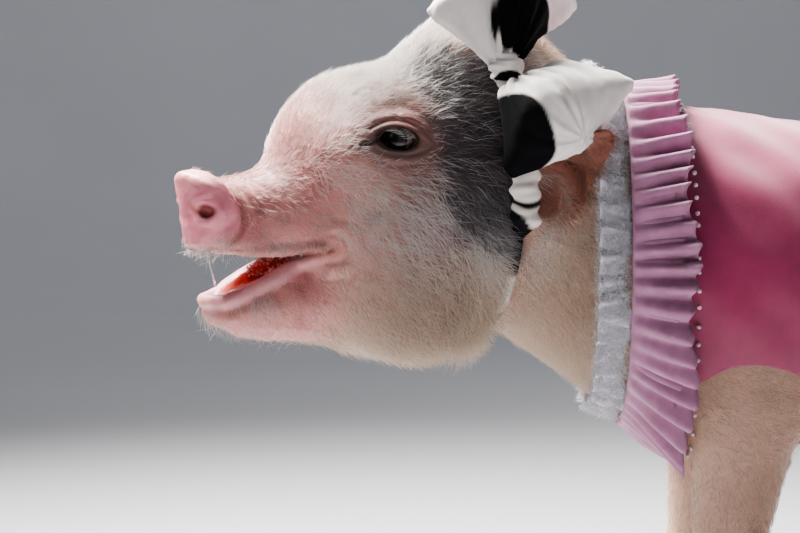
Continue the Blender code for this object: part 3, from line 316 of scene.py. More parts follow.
def openings(f, points):
    """Takes the mouth, the nostrils and the eyes out of the head's flesh."""
    f = carve(f, mouth_distance(points), 2.5)
    f = carve(f, nostril_distance(points), 2.0)
    length, height = LID_OPENING
    lids = blob(eye_frame(both_sides(points)), (0, EYE_RADIUS + 1, 0), (length, LID_DEPTH, height))
    f = carve(f, lids, 1.2)
    return carve(f, eye_distance(points) - EYE_ROOM, 0.8)


def plain_flesh(world):
    """The whole pig's flesh without ears, tail and openings, in millimetres."""
    in_body = to_body(world)
    f = form_distance(BODY_FORMS[0], in_body)
    for row in BODY_FORMS[1:]:
        f = join(f, form_distance(row, in_body), row[-1])
    f = join(f, neck_distance(in_body), BODY_BLEND)
    return join(f, head_distance(to_head(world)), 18)


def neck_distance(in_body):
    start = to_body(from_head(NECK_FROM))[0]
    return tube(in_body, start, NECK_TO, NECK_FROM_RADII, NECK_TO_RADII)


def trunk(world):
    """The neck and trunk without legs, that the dress goes round."""
    in_body = to_body(world)
    f = form_distance(BODY_FORMS[0], in_body)
    for row in BODY_FORMS[1:5]:
        f = join(f, form_distance(row, in_body), row[-1])
    return join(f, neck_distance(in_body), BODY_BLEND)


def slope(field, points, step=0.0004):
    """The field's value and its gradient per millimetre."""
    value = field(points)
    grad = np.empty_like(points)
    for axis in range(3):
        ahead, behind = points.copy(), points.copy()
        ahead[:, axis] += step
        behind[:, axis] -= step
        grad[:, axis] = (field(ahead) - field(behind)) / (2 * step / MM)
    return value, grad


def settle(field, points, rounds, most=2.5):
    """Moves points along the field's gradient until they lie on its surface."""
    p = points.copy()
    for _ in range(rounds):
        value, grad = slope(field, p)
        size = np.maximum((grad**2).sum(axis=1), 0.04)
        step = -value / size
        move = grad * np.clip(step, -most, most)[:, None]
        p += move * MM
    return p


def mesh_from(bm, name):
    mesh = bpy.data.meshes.new(name)
    bm.to_mesh(mesh)
    bm.free()
    return mesh


def apply_modifiers(obj):
    """Replaces the object's mesh by what its modifiers make of it."""
    graph = bpy.context.evaluated_depsgraph_get()
    made = bpy.data.meshes.new_from_object(obj.evaluated_get(graph))
    obj.modifiers.clear()
    old = obj.data
    obj.data = made
    bpy.data.meshes.remove(old)
    return obj


def vertices(obj):
    out = np.empty(len(obj.data.vertices) * 3)
    obj.data.vertices.foreach_get("co", out)
    return out.reshape(-1, 3)


def place_vertices(obj, points):
    obj.data.vertices.foreach_set("co", points.ravel())
    obj.data.update()


def sphere(detail, radius=1):
    """A sphere primitive and its corners."""
    bm = bmesh.new()
    bmesh.ops.create_icosphere(bm, subdivisions=detail, radius=radius)
    return bm, np.array([v.co[:] for v in bm.verts])


def ellipsoid_points(centre, radii, to_world, detail=3):
    """The corners of a sphere primitive, stretched to an ellipsoid and set in the world."""
    bm, points = sphere(detail)
    bm.free()
    return to_world(points * radii + np.asarray(centre, float))


def hull(points):
    """A closed convex mesh round the points."""
    bm = bmesh.new()
    for point in points:
        bm.verts.new(point)
    made = bmesh.ops.convex_hull(bm, input=bm.verts)
    bmesh.ops.delete(bm, geom=made["geom_interior"], context="VERTS")
    return bm


def rough_parts(row, to_world):
    """The plain solids of one row of forms, for the remesh that gives the flesh its mesh."""
    sides = (1,) if row[1][1] == 0 else (1, -1)
    for side in sides:
        flip = np.array([1, side, 1])
        if row[0] == "blob":
            yield hull(ellipsoid_points(row[1] * flip, row[2], to_world))
        else:
            ends = []
            for centre, (wide, high) in ((row[1], row[3]), (row[2], row[4])):
                upright = abs(row[2][2] - row[1][2]) > abs(row[2][0] - row[1][0])
                radii = (high, wide, min(wide, high)) if upright else (min(wide, high), wide, high)
                ends.append(ellipsoid_points(centre * flip, radii, to_world))
            yield hull(np.concatenate(ends))


def rough_cutters():
    """The plain solids of the mouth, the nostrils, the lid openings and the eyeballs."""
    top, low = UPPER_LIP, LOWER_LIP
    outline = [MOUTH_CORNER, top, (PAST_SNOUT, top[1]), (PAST_SNOUT, low[1]), low]
    yield hull(from_head([(u, side * PAST_CHEEK, z) for side in (1, -1) for u, z in outline]))
    yield hull(ellipsoid_points(*MOUTH_HOLLOW, from_head))
    for side in (1, -1):
        ends = []
        for place, radii in ((NOSTRIL[0], NOSTRIL[2]), (NOSTRIL[1], NOSTRIL[3])):
            centre = np.array(NOSE_AT) + np.array(place) * (1, side, 1)
            ends.append(ellipsoid_points(centre, (1, *radii), from_head))
        yield hull(np.concatenate(ends))
        centre = np.array(EYE_AT) * (1, side, 1)
        front = eye_point(side, 0, EYE_RADIUS + 1, 0)
        yield hull(ellipsoid_points(front, (LID_OPENING[0], LID_DEPTH, LID_OPENING[1]), from_head))
        yield hull(ellipsoid_points(centre, (EYE_RADIUS,) * 3, from_head))


def reach(field, origins, directions, offset, most=0.2):
    """How far along each ray the field rises to an offset, from origins inside."""
    low, high = np.zeros(len(origins)), np.full(len(origins), most)
    for _ in range(24):
        middle = (low + high) / 2
        inside = field(origins + directions * middle[:, None]) < offset
        low, high = np.where(inside, middle, low), np.where(inside, high, middle)
    return (low + high) / 2


def around_trunk(x, angle, offset):
    """Points round the trunk at X, by angle from the top towards its left, off its surface in mm."""
    x, angle, offset = np.broadcast_arrays(np.asarray(x, float), angle, offset)
    middle = np.column_stack([x, np.full_like(x, BODY_Y), TRUNK_AXIS_Z + 0 * x])
    out = np.column_stack([0 * x, -np.sin(angle), np.cos(angle)])
    return middle + out * (reach(trunk, middle, out, 0.0) + offset * MM)[:, None]


def eye_point(side, along, out, up):
    """A point in an eye's frame, in head millimetres."""
    c, s = math.cos(EYE_FORWARD), math.sin(EYE_FORWARD)
    q = np.array([along * c + out * s, out * c - along * s, up]) + EYE_AT
    return q * (1, side, 1)


def lip_height(u, lip):
    """The edge of the mouth's height, so far forward, on one lip."""
    corner_u, corner_z = MOUTH_CORNER
    ramp = np.clip((u - corner_u) / (lip[0] - corner_u), 0, 1)
    return corner_z + ramp * (lip[1] - corner_z)


def tail_line():
    """The tail's middle line: along the rump in an easy curve, with its tip curled out."""
    s = np.linspace(0, 1, 12)
    z = TAIL_Z - TAIL_DROP * s
    start = from_body(np.column_stack([INSIDE_RUMP + 0 * s, 0 * s, z]))
    rump = INSIDE_RUMP + reach(trunk, start, np.tile([1.0, 0, 0], (len(s), 1)), 0.0) / MM
    x = rump + np.interp(s, [0, 0.12, 0.3, 0.75, 1], [-8, 3, 9, 10, 17])
    left = TAIL_SWING * np.sin(s * 5.0)
    return from_body(np.column_stack([x, left, z])), np.array(TAIL_RADII) * MM


# Small helpers


def vertex_normals(obj):
    """The normals at an object's points."""
    normal = np.empty(len(obj.data.vertices) * 3)
    obj.data.vertex_normals.foreach_get("vector", normal)
    return normal.reshape(-1, 3)


def bridge(bm, rings):
    """Joins rings of points with four-sided faces."""
    for lower, upper in zip(rings, rings[1:]):
        for k in range(len(lower)):
            after = (k + 1) % len(lower)
            bm.faces.new((lower[k], lower[after], upper[after], upper[k]))


def wrapped_mesh(name, points, closed=False, weld=None):
    """A mesh through rings of points, with its faces turned outwards."""
    rows, columns = points.shape[:2]
    faces = []
    for r in range(rows if closed else rows - 1):
        above = (r + 1) % rows
        for k in range(columns):
            after = (k + 1) % columns
            faces.append((r * columns + k, r * columns + after, above * columns + after, above * columns + k))
    mesh = bpy.data.meshes.new(name)
    mesh.from_pydata(points.reshape(-1, 3).tolist(), [], faces)
    bm = bmesh.new()
    bm.from_mesh(mesh)
    if weld:
        bmesh.ops.remove_doubles(bm, verts=bm.verts, dist=weld)
    bmesh.ops.recalc_face_normals(bm, faces=bm.faces)
    bm.to_mesh(mesh)
    bm.free()
    return mesh


def ramp(x, low, high):
    """0 below low, 1 above high, and an even S between."""
    t = np.clip((x - low) / (high - low), 0, 1)
    return t * t * (3 - 2 * t)


def srgb(r, g, b):
    """A colour given as 0 to 255 in the picture's own scale, as linear light."""
    c = np.array([r, g, b]) / 255
    return np.where(c < 0.04045, c / 12.92, ((c + 0.055) / 1.055) ** 2.4)


def blend(a, b, weight):
    weight = np.asarray(weight)[:, None]
    return a * (1 - weight) + b * weight


def waves(p, scale, seed):
    """A smooth, uneven field from -1 to 1, from a few crossed sines."""
    q = p / scale
    a = np.sin(q[:, 0] * 1.7 + 1.3 * np.sin(q[:, 1] * 1.1 + seed) + seed)
    b = np.sin(q[:, 1] * 1.9 + 1.5 * np.sin(q[:, 2] * 1.3 + 2 * seed) + 2.1)
    c = np.sin(q[:, 2] * 1.5 + 1.4 * np.sin(q[:, 0] * 1.2 + 3 * seed) + 4.2)
    return (a + b + c) / 3


def wobble(p, *rows):
    """An uneven shift of each point: waves of one scale and seed for each axis."""
    return np.column_stack([waves(p, scale, seed) for scale, seed in rows])


def evenly(colour, count):
    """The same colour for so many points."""
    return np.tile(colour, (count, 1))


def chain_distance(p, line, radii, closed=False):
    """Millimetres from a string of round-ended bars of changing radius."""
    ends = np.roll(line, -1, axis=0) if closed else line[1:]
    starts = line if closed else line[:-1]
    next_radii = np.roll(radii, -1) if closed else radii[1:]
    best = np.full(len(p), 1e3)
    for a, b, ra, rb in zip(starts, ends, radii, next_radii):
        span = b - a
        t = np.clip((p - a) @ span / (span @ span), 0, 1)
        far = np.linalg.norm(p - a - t[:, None] * span, axis=1) - (ra + (rb - ra) * t)
        best = np.minimum(best, far)
    return best


# The skin's form: the CAD's flesh, set in by the coat, with lids, lips and folds

# What fills out the jaw's upper part and the nose's wings: centre and radii
JAW_FILL = ((49, 0, 226), (26, 23, 20))
WING_FILL = ((66, 13.5, 251), (15, 9.5, 8.5))


def full_flesh(world):
    """The plain flesh, with the jaw's upper part and the nose's wings filled out."""
    f = plain_flesh(world)
    p = to_head(world)
    ahead = p[:, 0] > 10
    q = p[ahead]
    f[ahead] = join(join(f[ahead], blob(q, *JAW_FILL), 8.0), blob(both_sides(q), *WING_FILL), 8.0)
    return f


def coat_depth(world):
    """How deep the short coat is, in millimetres."""
    p = to_head(world)
    on_head = ramp(-world[:, 0], 0.06, 0.10)
    face = 2.4 - 1.9 * ramp(p[:, 0], 8, 52)
    trunk_depth = 0.8 + 0.9 * ramp(world[:, 2], 0.10, 0.18)
    return trunk_depth + (face - trunk_depth) * on_head


def lid_line(points=24):
    """The rim of the left eye's lids, in head millimetres."""
    turns = np.linspace(0, 2 * math.pi, points, endpoint=False)
    along = LID_OPENING[0] * np.cos(turns) * np.where(np.cos(turns) > 0, 1.12, 1.0)
    up = LID_OPENING[1] * np.sin(turns) * np.where(turns < math.pi, 1.0, LOWER_LID) + LID_TILT * along
    out = np.sqrt(np.maximum((EYE_RADIUS + 0.9) ** 2 - along**2 - up**2, 1))
    return np.array([eye_point(1, *place) for place in zip(along, out, up)])


def lip_line(lip, lift):
    """The middle line of one lip, in head millimetres, from corner to corner."""
    angles = np.linspace(-LIP_SPAN / 2, LIP_SPAN / 2, 25)
    out = np.column_stack([np.cos(angles), np.sin(angles), 0 * angles])
    spots = np.tile([float(LIP_MIDDLE), 0, 0], (len(angles), 1))
    far = np.full(len(angles), 40.0)
    for _ in range(3):
        spots[:, 2] = lip_height(LIP_MIDDLE + out[:, 0] * far, lip) + lift
        start = from_head(spots)
        heading = (from_head(spots + out) - start) / MM
        far = reach(full_flesh, start, heading, 0.0) / MM
    line = spots + out * (far - LIP_RADIUS * 0.95)[:, None]
    return line[line[:, 0] > MOUTH_CORNER[0] - 3]


LID_LINE = lid_line()
LIP_SPLIT = (lip_height(np.array([50.0]), UPPER_LIP)[0] + lip_height(np.array([50.0]), LOWER_LIP)[0]) / 2
LIP_LINES = [(lip_line(UPPER_LIP, 1.1), 3.5), (lip_line(LOWER_LIP, -2.2), 3.4)]


def groove(distance, width):
    return np.exp(-((distance / width) ** 2))


def behind_disc(nose):
    """How far back from the nose disc's rim, which rounds forward below, in millimetres."""
    return -nose[:, 0] - 7.0 + 9.0 * ramp(-nose[:, 2], 3, 19)


def tear_distance(along, up):
    """Millimetres from the line that slants down from the eye's front corner."""
    ahead = np.clip(along - 12.0, -4, 6)
    return np.hypot(along - 12.0 - ahead, up + 0.9 + 0.28 * ahead)


def trough_distance(nose):
    """Millimetres above the slanting trough under each nostril, on the nose disc."""
    return nose[:, 2] - 1.0 - 0.22 * (17 - abs(nose[:, 1]))


def relief(p):
    """How far the folds of the face stand up or sink in, in millimetres."""
    side = both_sides(p)
    eye = eye_frame(side)
    a, z = eye[:, 0], eye[:, 2]
    near_eye = groove(np.maximum(abs(a) - 10, 0), 5) * (eye[:, 1] > 0) * groove(np.maximum(abs(z) - 12, 0), 8)
    over = z - (9.8 - 0.030 * a**2 + 0.05 * a)
    under = z - (-7.4 + 0.020 * a**2 + 0.10 * a)
    h = near_eye * (-1.0 * groove(over, 1.0) + 0.9 * groove(over - 3.2, 2.4) - 0.5 * groove(over - 6.5, 1.1))
    h += near_eye * 0.8 * groove(over + 2.3, 1.3)
    h += near_eye * (-0.7 * groove(under, 0.9) + 0.5 * groove(under + 2.4, 1.8)
                     - 0.45 * groove(under + 5.2, 1.0))
    h -= 1.1 * groove(tear_distance(a, z), 1.3) * (eye[:, 1] > 0)
    nose = nose_frame(p)
    behind = behind_disc(nose) + 0.8 * waves(p, 7.0, 1.0)
    ring = np.hypot(nose[:, 1], nose[:, 2])
    muzzle = ramp(p[:, 0], 30, 45) * ramp(ring, 12, 16) * ramp(p[:, 2], 241, 248)
    upper = ramp(nose[:, 2], -16, 2)
    hole = nostril_distance(p)
    h += ramp(p[:, 0], 60, 68) * (0.8 * groove(hole - 2.6, 1.8) - 0.5 * groove(hole - 7.0, 2.4))
    face = ramp(nose[:, 0], 1, 5) * ramp(p[:, 0], 60, 68)
    h -= face * 0.9 * groove(np.hypot(abs(nose[:, 1]) - 8, (nose[:, 2] + 1) * 2.0), 5.0)
    h += face * (0.22 * waves(p, 2.0, 4.0) + 0.3 * waves(p, 5.0, 6.0))
    inward = abs(nose[:, 1])
    h -= face * 1.6 * groove(trough_distance(nose), 2.2) * ramp(inward, 6, 13) * ramp(-inward, -17, -13)
    h -= muzzle * 0.9 * groove(behind - 2.0, 1.3) * ramp(nose[:, 2], -19, -12)
    h -= 3.6 * ramp(p[:, 0], 64, 76) * ramp(250.5 - p[:, 2], 0, 5)
    h -= muzzle * upper * (0.7 * groove(behind - 7.5, 1.2) + 0.55 * groove(behind - 12.5, 1.3))
    h += muzzle * upper * (0.4 * groove(behind - 5.0, 1.6) + 0.4 * groove(behind - 10.0, 1.8))
    h -= muzzle * upper * 0.35 * groove(behind - 18.0, 1.4)
    corner = np.hypot(side[:, 0] - MOUTH_CORNER[0], side[:, 2] - MOUTH_CORNER[1])
    at_corner = ramp(MOUTH_CORNER[0] + 3 - side[:, 0], 0, 5) * ramp(side[:, 1], 14, 22)
    h += at_corner * (-0.8 * groove(corner - 7, 1.2) + 0.6 * groove(corner - 10.5, 2.4)
                      - 0.5 * groove(corner - 15, 1.3))
    chin = ramp(p[:, 0], 20, 40) * ramp(240 - p[:, 2], 0, 8)
    h += chin * 0.35 * waves(p, 3.0, 2.0)
    return h + 0.22 * waves(p, 4.5, 0.5) + 0.3 * waves(p, 11.0, 3.0)


EAR_LOW_SIDE = 0.62    # how wide the ear's lower half is, against its upper half


def ear_frame():
    """The left ear's root and length, and its directions: to its tip, out of its cup, and across."""
    root, tip = np.array(EAR_ROOT, float), np.array(EAR_TIP, float)
    axis = unit(tip - root)
    face = np.array(EAR_FACES, float)
    face = unit(face - (face @ axis) * axis)
    return root, np.linalg.norm(tip - root), axis, face, np.cross(axis, face)


def ear_bend(s, t):
    """How far the ear's middle surface stands out of its plane, along it and across it."""
    return EAR_CUP * (1 - 0.5 * s) * (t**2 - 0.5) - EAR_BOW * np.sin(math.pi * s)


def ear_distance(p):
    """Millimetres from the nearer ear, a cupped leaf, in head millimetres."""
    root, length, axis, face, across = ear_frame()
    q = both_sides(p) - root
    along = q @ axis
    s = np.clip(along / length, 0, 1)
    belly = 0.66 + 0.34 * np.sin(math.pi * np.minimum(s + 0.10, 1) ** 0.8)
    width = EAR_WIDTH / 2 * belly * np.sqrt(np.maximum(1 - s**3, 0.02))
    wide = q @ across
    width = width * np.where(wide > 0, EAR_LOW_SIDE, 1.0)
    t = np.clip(wide / width, -1, 1)
    off = q @ face - ear_bend(s, t)
    over = np.maximum(abs(wide) - width, 0)
    thick = 1.2 + 1.6 * (1 - s) ** 2 + 0.25 * waves(p, 6.0, 8.0)
    return np.sqrt(off**2 + over**2 + (along - s * length) ** 2) - thick


def tail_distance(world):
    line, radii = tail_line()
    radii = np.linspace(radii[0], radii[1] * 0.8, len(line)) / MM
    return chain_distance(world / MM, line / MM, radii)


def skin_distance(world):
    """The skin's distance field, in millimetres."""
    f = full_flesh(world) + coat_depth(world)
    p = to_head(world)
    near = np.linalg.norm(both_sides(p) - (np.array(EAR_ROOT) + EAR_TIP) / 2, axis=1) < 62
    f[near] = join(f[near], ear_distance(p[near]), 7.0)
    near = world[:, 0] > 0.2
    f[near] = join(f[near], tail_distance(world[near]), 5.0)
    ahead = p[:, 0] > -45
    q = p[ahead]
    g = openings(f[ahead] - relief(q), q)
    near = off_eye(q) < 22
    lids = chain_distance(both_sides(q[near]), LID_LINE, np.full(len(LID_LINE), 1.15), closed=True)
    g[near] = join(g[near], lids, 1.6)
    near = (q[:, 0] > 22) & (q[:, 2] < 262)
    for line, radius in LIP_LINES:
        ends = np.linspace(-1, 1, len(line))
        front = 0.45 if line[len(line) // 2, 2] > LIP_SPLIT else 1.0
        radii = radius * np.interp(ends, [-1, -0.75, -0.3, 0.3, 0.75, 1], [0.35, 1, front, front, 1, 0.35])
        g[near] = join(g[near], chain_distance(q[near], line, radii), 3.5)
    f[ahead] = g
    return f


# Building the skin's mesh


def scratch(name, mesh):
    """A new object that isn't yet declared to the frame."""
    obj = bpy.data.objects.new(name, mesh)
    bpy.context.scene.collection.objects.link(obj)
    return obj


def add_piece(name, mesh):
    """A new object that rides on the only body."""
    obj = scratch(name, mesh)
    mesh.shade_smooth()
    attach(obj, "root")
    return obj


def painted(obj, material):
    """Gives an object one material, whatever its modifiers left behind."""
    obj.data.materials.clear()
    obj.data.materials.append(material)
    obj.data.polygons.foreach_set("material_index", np.zeros(len(obj.data.polygons), dtype=np.int32))
    obj.data.shade_smooth()
    return obj


def drop(*objects):
    for obj in objects:
        bpy.data.objects.remove(obj, do_unlink=True)


def remeshed(obj, voxel):
    change = obj.modifiers.new("remesh", "REMESH")
    change.mode = "VOXEL"
    change.voxel_size = voxel
    return apply_modifiers(obj)


def combine(obj, pieces, operation):
    """One Boolean with several closed pieces, applied."""
    group = bpy.data.collections.new("pieces")
    for piece in pieces:
        group.objects.link(piece)
    change = obj.modifiers.new("combine", "BOOLEAN")
    change.operation = operation
    change.operand_type = "COLLECTION"
    change.collection = group
    change.solver = "MANIFOLD"
    apply_modifiers(obj)
    drop(*pieces)
    bpy.data.collections.remove(group)
    return obj


def relaxed(obj, field, rounds, move=None):
    """Evens the mesh out along the surface, and puts it back on the field each time."""
    edges = np.empty(len(obj.data.edges) * 2, dtype=np.int64)
    obj.data.edges.foreach_get("vertices", edges)
    count = np.bincount(edges, minlength=len(obj.data.vertices))[:, None]
    first, second = edges.reshape(-1, 2).T
    p = vertices(obj)
    for _ in range(rounds):
        total = np.column_stack([np.bincount(first, p[second, axis], len(p))
                                 + np.bincount(second, p[first, axis], len(p)) for axis in range(3)])
        target = p * 0.4 + total / count * 0.6
        if move is None:
            p = settle(field, target, rounds=2)
        else:
            p[move] = settle(field, target[move], rounds=2)
    place_vertices(obj, p)
    return obj


def skin_cutters():
    return [scratch(f"cutter_{number}", mesh_from(part, "cutter"))
            for number, part in enumerate(rough_cutters())]


def rough_flesh():
    whole = bmesh.new()
    rows = [(row, from_head) for row in HEAD_FORMS] + [(row, from_body) for row in BODY_FORMS]
    parts = [part for row, frame_of in rows for part in rough_parts(row, frame_of)]
    neck_start = to_body(from_head(NECK_FROM))[0]
    ends = [ellipsoid_points(place, (ROUGH_NECK_END, *radii), from_body)
            for place, radii in ((neck_start, NECK_FROM_RADII), (NECK_TO, NECK_TO_RADII))]
    parts.append(hull(np.concatenate(ends)))
    disc = (NOSE_THICKNESS / 2, NOSE_RADIUS, NOSE_RADIUS)
    parts.append(hull(ellipsoid_points(NOSE_AT, disc, from_head)))
    line, radii = tail_line()
    for a, b in zip(line, line[1:]):
        parts.append(hull(np.concatenate([ball_points(a, 0.0055), ball_points(b, 0.0055)])))
    parts += rough_ears()
    for part in parts:
        mesh = mesh_from(part, "rough")
        whole.from_mesh(mesh)
        bpy.data.meshes.remove(mesh)
    bmesh.ops.recalc_face_normals(whole, faces=whole.faces)
    return scratch("skin", mesh_from(whole, "skin"))


def ball_points(centre, radius):
    """Points over a small ball, in the world."""
    bm, points = sphere(2, radius)
    bm.free()
    return points + centre


def rough_ears():
    """Each ear as a row of thick plates, hulls of balls along its middle surface."""
    root, length, axis, face, across = ear_frame()
    rows = []
    for s in np.linspace(0, 0.985, 8):
        belly = 0.42 + 0.58 * math.sin(math.pi * min(s + 0.08, 1) ** 0.9)
        width = EAR_WIDTH / 2 * belly * math.sqrt(max(1 - s**5, 0.02))
        row = []
        for t in np.linspace(-1, 1, 7):
            out = width * t * (EAR_LOW_SIDE if t > 0 else 1)
            row.append(root + axis * (s * length) + across * out + face * ear_bend(s, t))
        rows.append(row)
    parts = []
    for side in (1, -1):
        for r in range(7):
            for c in range(6):
                corners = [rows[r][c], rows[r][c + 1], rows[r + 1][c], rows[r + 1][c + 1]]
                balls = [ball_points(from_head(corner * (1, side, 1))[0], 0.0032) for corner in corners]
                parts.append(hull(np.concatenate(balls)))
    return parts


def make_skin():
    """One skin for the whole animal, finer on the face."""
    skin = rough_flesh()
    remeshed(skin, 0.003)
    place_vertices(skin, settle(full_flesh, vertices(skin), rounds=3))
    combine(skin, skin_cutters(), "DIFFERENCE")
    remeshed(skin, 0.0020)
    place_vertices(skin, settle(skin_distance, vertices(skin), rounds=5))
    relaxed(skin, skin_distance, 2)
    refine_face(skin)
    return skin


def refine_face(skin):
    """Splits the faces of the face once more and settles them, for lids, lips and folds."""
    bm = bmesh.new()
    bm.from_mesh(skin.data)
    bm.verts.ensure_lookup_table()
    p = to_head(np.array([v.co[:] for v in bm.verts]))
    fine = (p[:, 0] > 18) | (off_eye(p) < 27)
    edges = [e for e in bm.edges if fine[e.verts[0].index] and fine[e.verts[1].index]]
    bmesh.ops.subdivide_edges(bm, edges=edges, cuts=1, use_grid_fill=True)
    bmesh.ops.triangulate(bm, faces=[f for f in bm.faces if len(f.verts) > 4])
    bm.to_mesh(skin.data)
    bm.free()
    p = to_head(vertices(skin))
    fine = (p[:, 0] > 16) | (off_eye(p) < 29)
    relaxed(skin, skin_distance, 3, move=fine)


# The markings, shared by the skin and the coat

PINK = srgb(186, 122, 110)
MUZZLE_PINK = srgb(170, 92, 92)
NOSE_PINK = srgb(206, 114, 130)
NOSE_TOP = srgb(214, 136, 134)
PATCH_SKIN = srgb(66, 52, 56)
LID_DARK = srgb(52, 30, 26)
FOLD_RED = srgb(150, 84, 72)
# the inner lips' own red, made brighter by painted light for the light that shines through the lip
MOUTH_RED_GLOW = srgb(216, 84, 72)
# painted shade: the mouth's inside, darker further back
MOUTH_BACK_SHADE = srgb(142, 56, 52)
LIP_PINK = srgb(204, 134, 138)
CORNER_BROWN = srgb(112, 60, 50)
NOSTRIL_RED = srgb(110, 24, 26)
# painted shadow deep inside the nostrils
NOSTRIL_SHADOW = srgb(30, 8, 10)
EAR_RUST = srgb(134, 68, 50)
EAR_DEEP = srgb(108, 54, 44)
NECK_TAN = srgb(166, 126, 102)
WHITE_HAIR = srgb(250, 246, 242)
CREAM_HAIR = srgb(230, 203, 174)
TAN_HAIR = srgb(216, 182, 146)
RUST_HAIR = srgb(146, 84, 60)
DARK_HAIR = srgb(30, 28, 32)
GREY_HAIR = srgb(128, 122, 127)

# Each spot's centre and radii, in the body's frame
BODY_SPOTS = (
    ((205, 40, 262), (34, 24, 30)),
    ((236, -34, 232), (26, 22, 30)),
    ((150, -50, 268), (24, 20, 22)),
    ((240, 44, 150), (20, 16, 22)),
)


def patch_weight(world, wider=0):
    """1 in the dark patch round the left temple and in the trunk's spots, 0 outside."""
    p = to_head(world)
    q = p + 5 * wobble(p, (9.0, 1.5), (9.0, 2.5), (8.0, 0.5))
    front = ramp(-q[:, 0], 10, 26)
    low = q[:, 2] - (284 + (q[:, 0] + 2) * 0.74)
    weight = (front * ramp(low, -9 - wider, 5) * ramp(345 - q[:, 2], -6, 8)
              * ramp(q[:, 1], 10, 22) * ramp(-q[:, 0], -300, 95))
    weight *= ramp(72 + q[:, 0] + 0.10 * (q[:, 2] - 290), 0, 10) * ramp(p[:, 0], -66, -61)
    far_side = (ramp(-q[:, 0], 26, 42) * ramp(q[:, 2], 292, 304) * ramp(336 - q[:, 2], 0, 10)
                * ramp(-q[:, 1], 14, 26))
    weight = np.maximum(weight, far_side * ramp(80 + q[:, 0], 0, 12))
    body = to_body(world)
    body = body + 7 * wobble(body, (13.0, 4.0), (12.0, 5.0), (14.0, 6.0))
    for centre, radii in BODY_SPOTS:
        far = np.linalg.norm((body - centre) / radii, axis=1)
        weight = np.maximum(weight, ramp(-far, -1.12, -0.92))
    return weight * (1 - on_ear(world)[0])


# Rust hair round the ear's root: centre and radii
EAR_FOOT = (np.array([-74.0, 46.0, 274.0]), np.array([13.0, 24.0, 17.0]))


def on_ear(world):
    """1 on the ears, 0 off them, and how far along the ear a point is, in millimetres."""
    p = to_head(world)
    root, _, axis, _, _ = ear_frame()
    along = (both_sides(p) - root) @ axis
    ear = ramp(-ear_distance(p), -3.5, -1.0) * ramp(along, 2, 9)
    uneven = 0.12 * waves(p, 7.0, 3.0)[:, None]
    at_root = np.linalg.norm((both_sides(p) - EAR_FOOT[0]) / EAR_FOOT[1] + uneven, axis=1)
    return np.maximum(ear, ramp(-at_root, -1.12, -0.88)), along


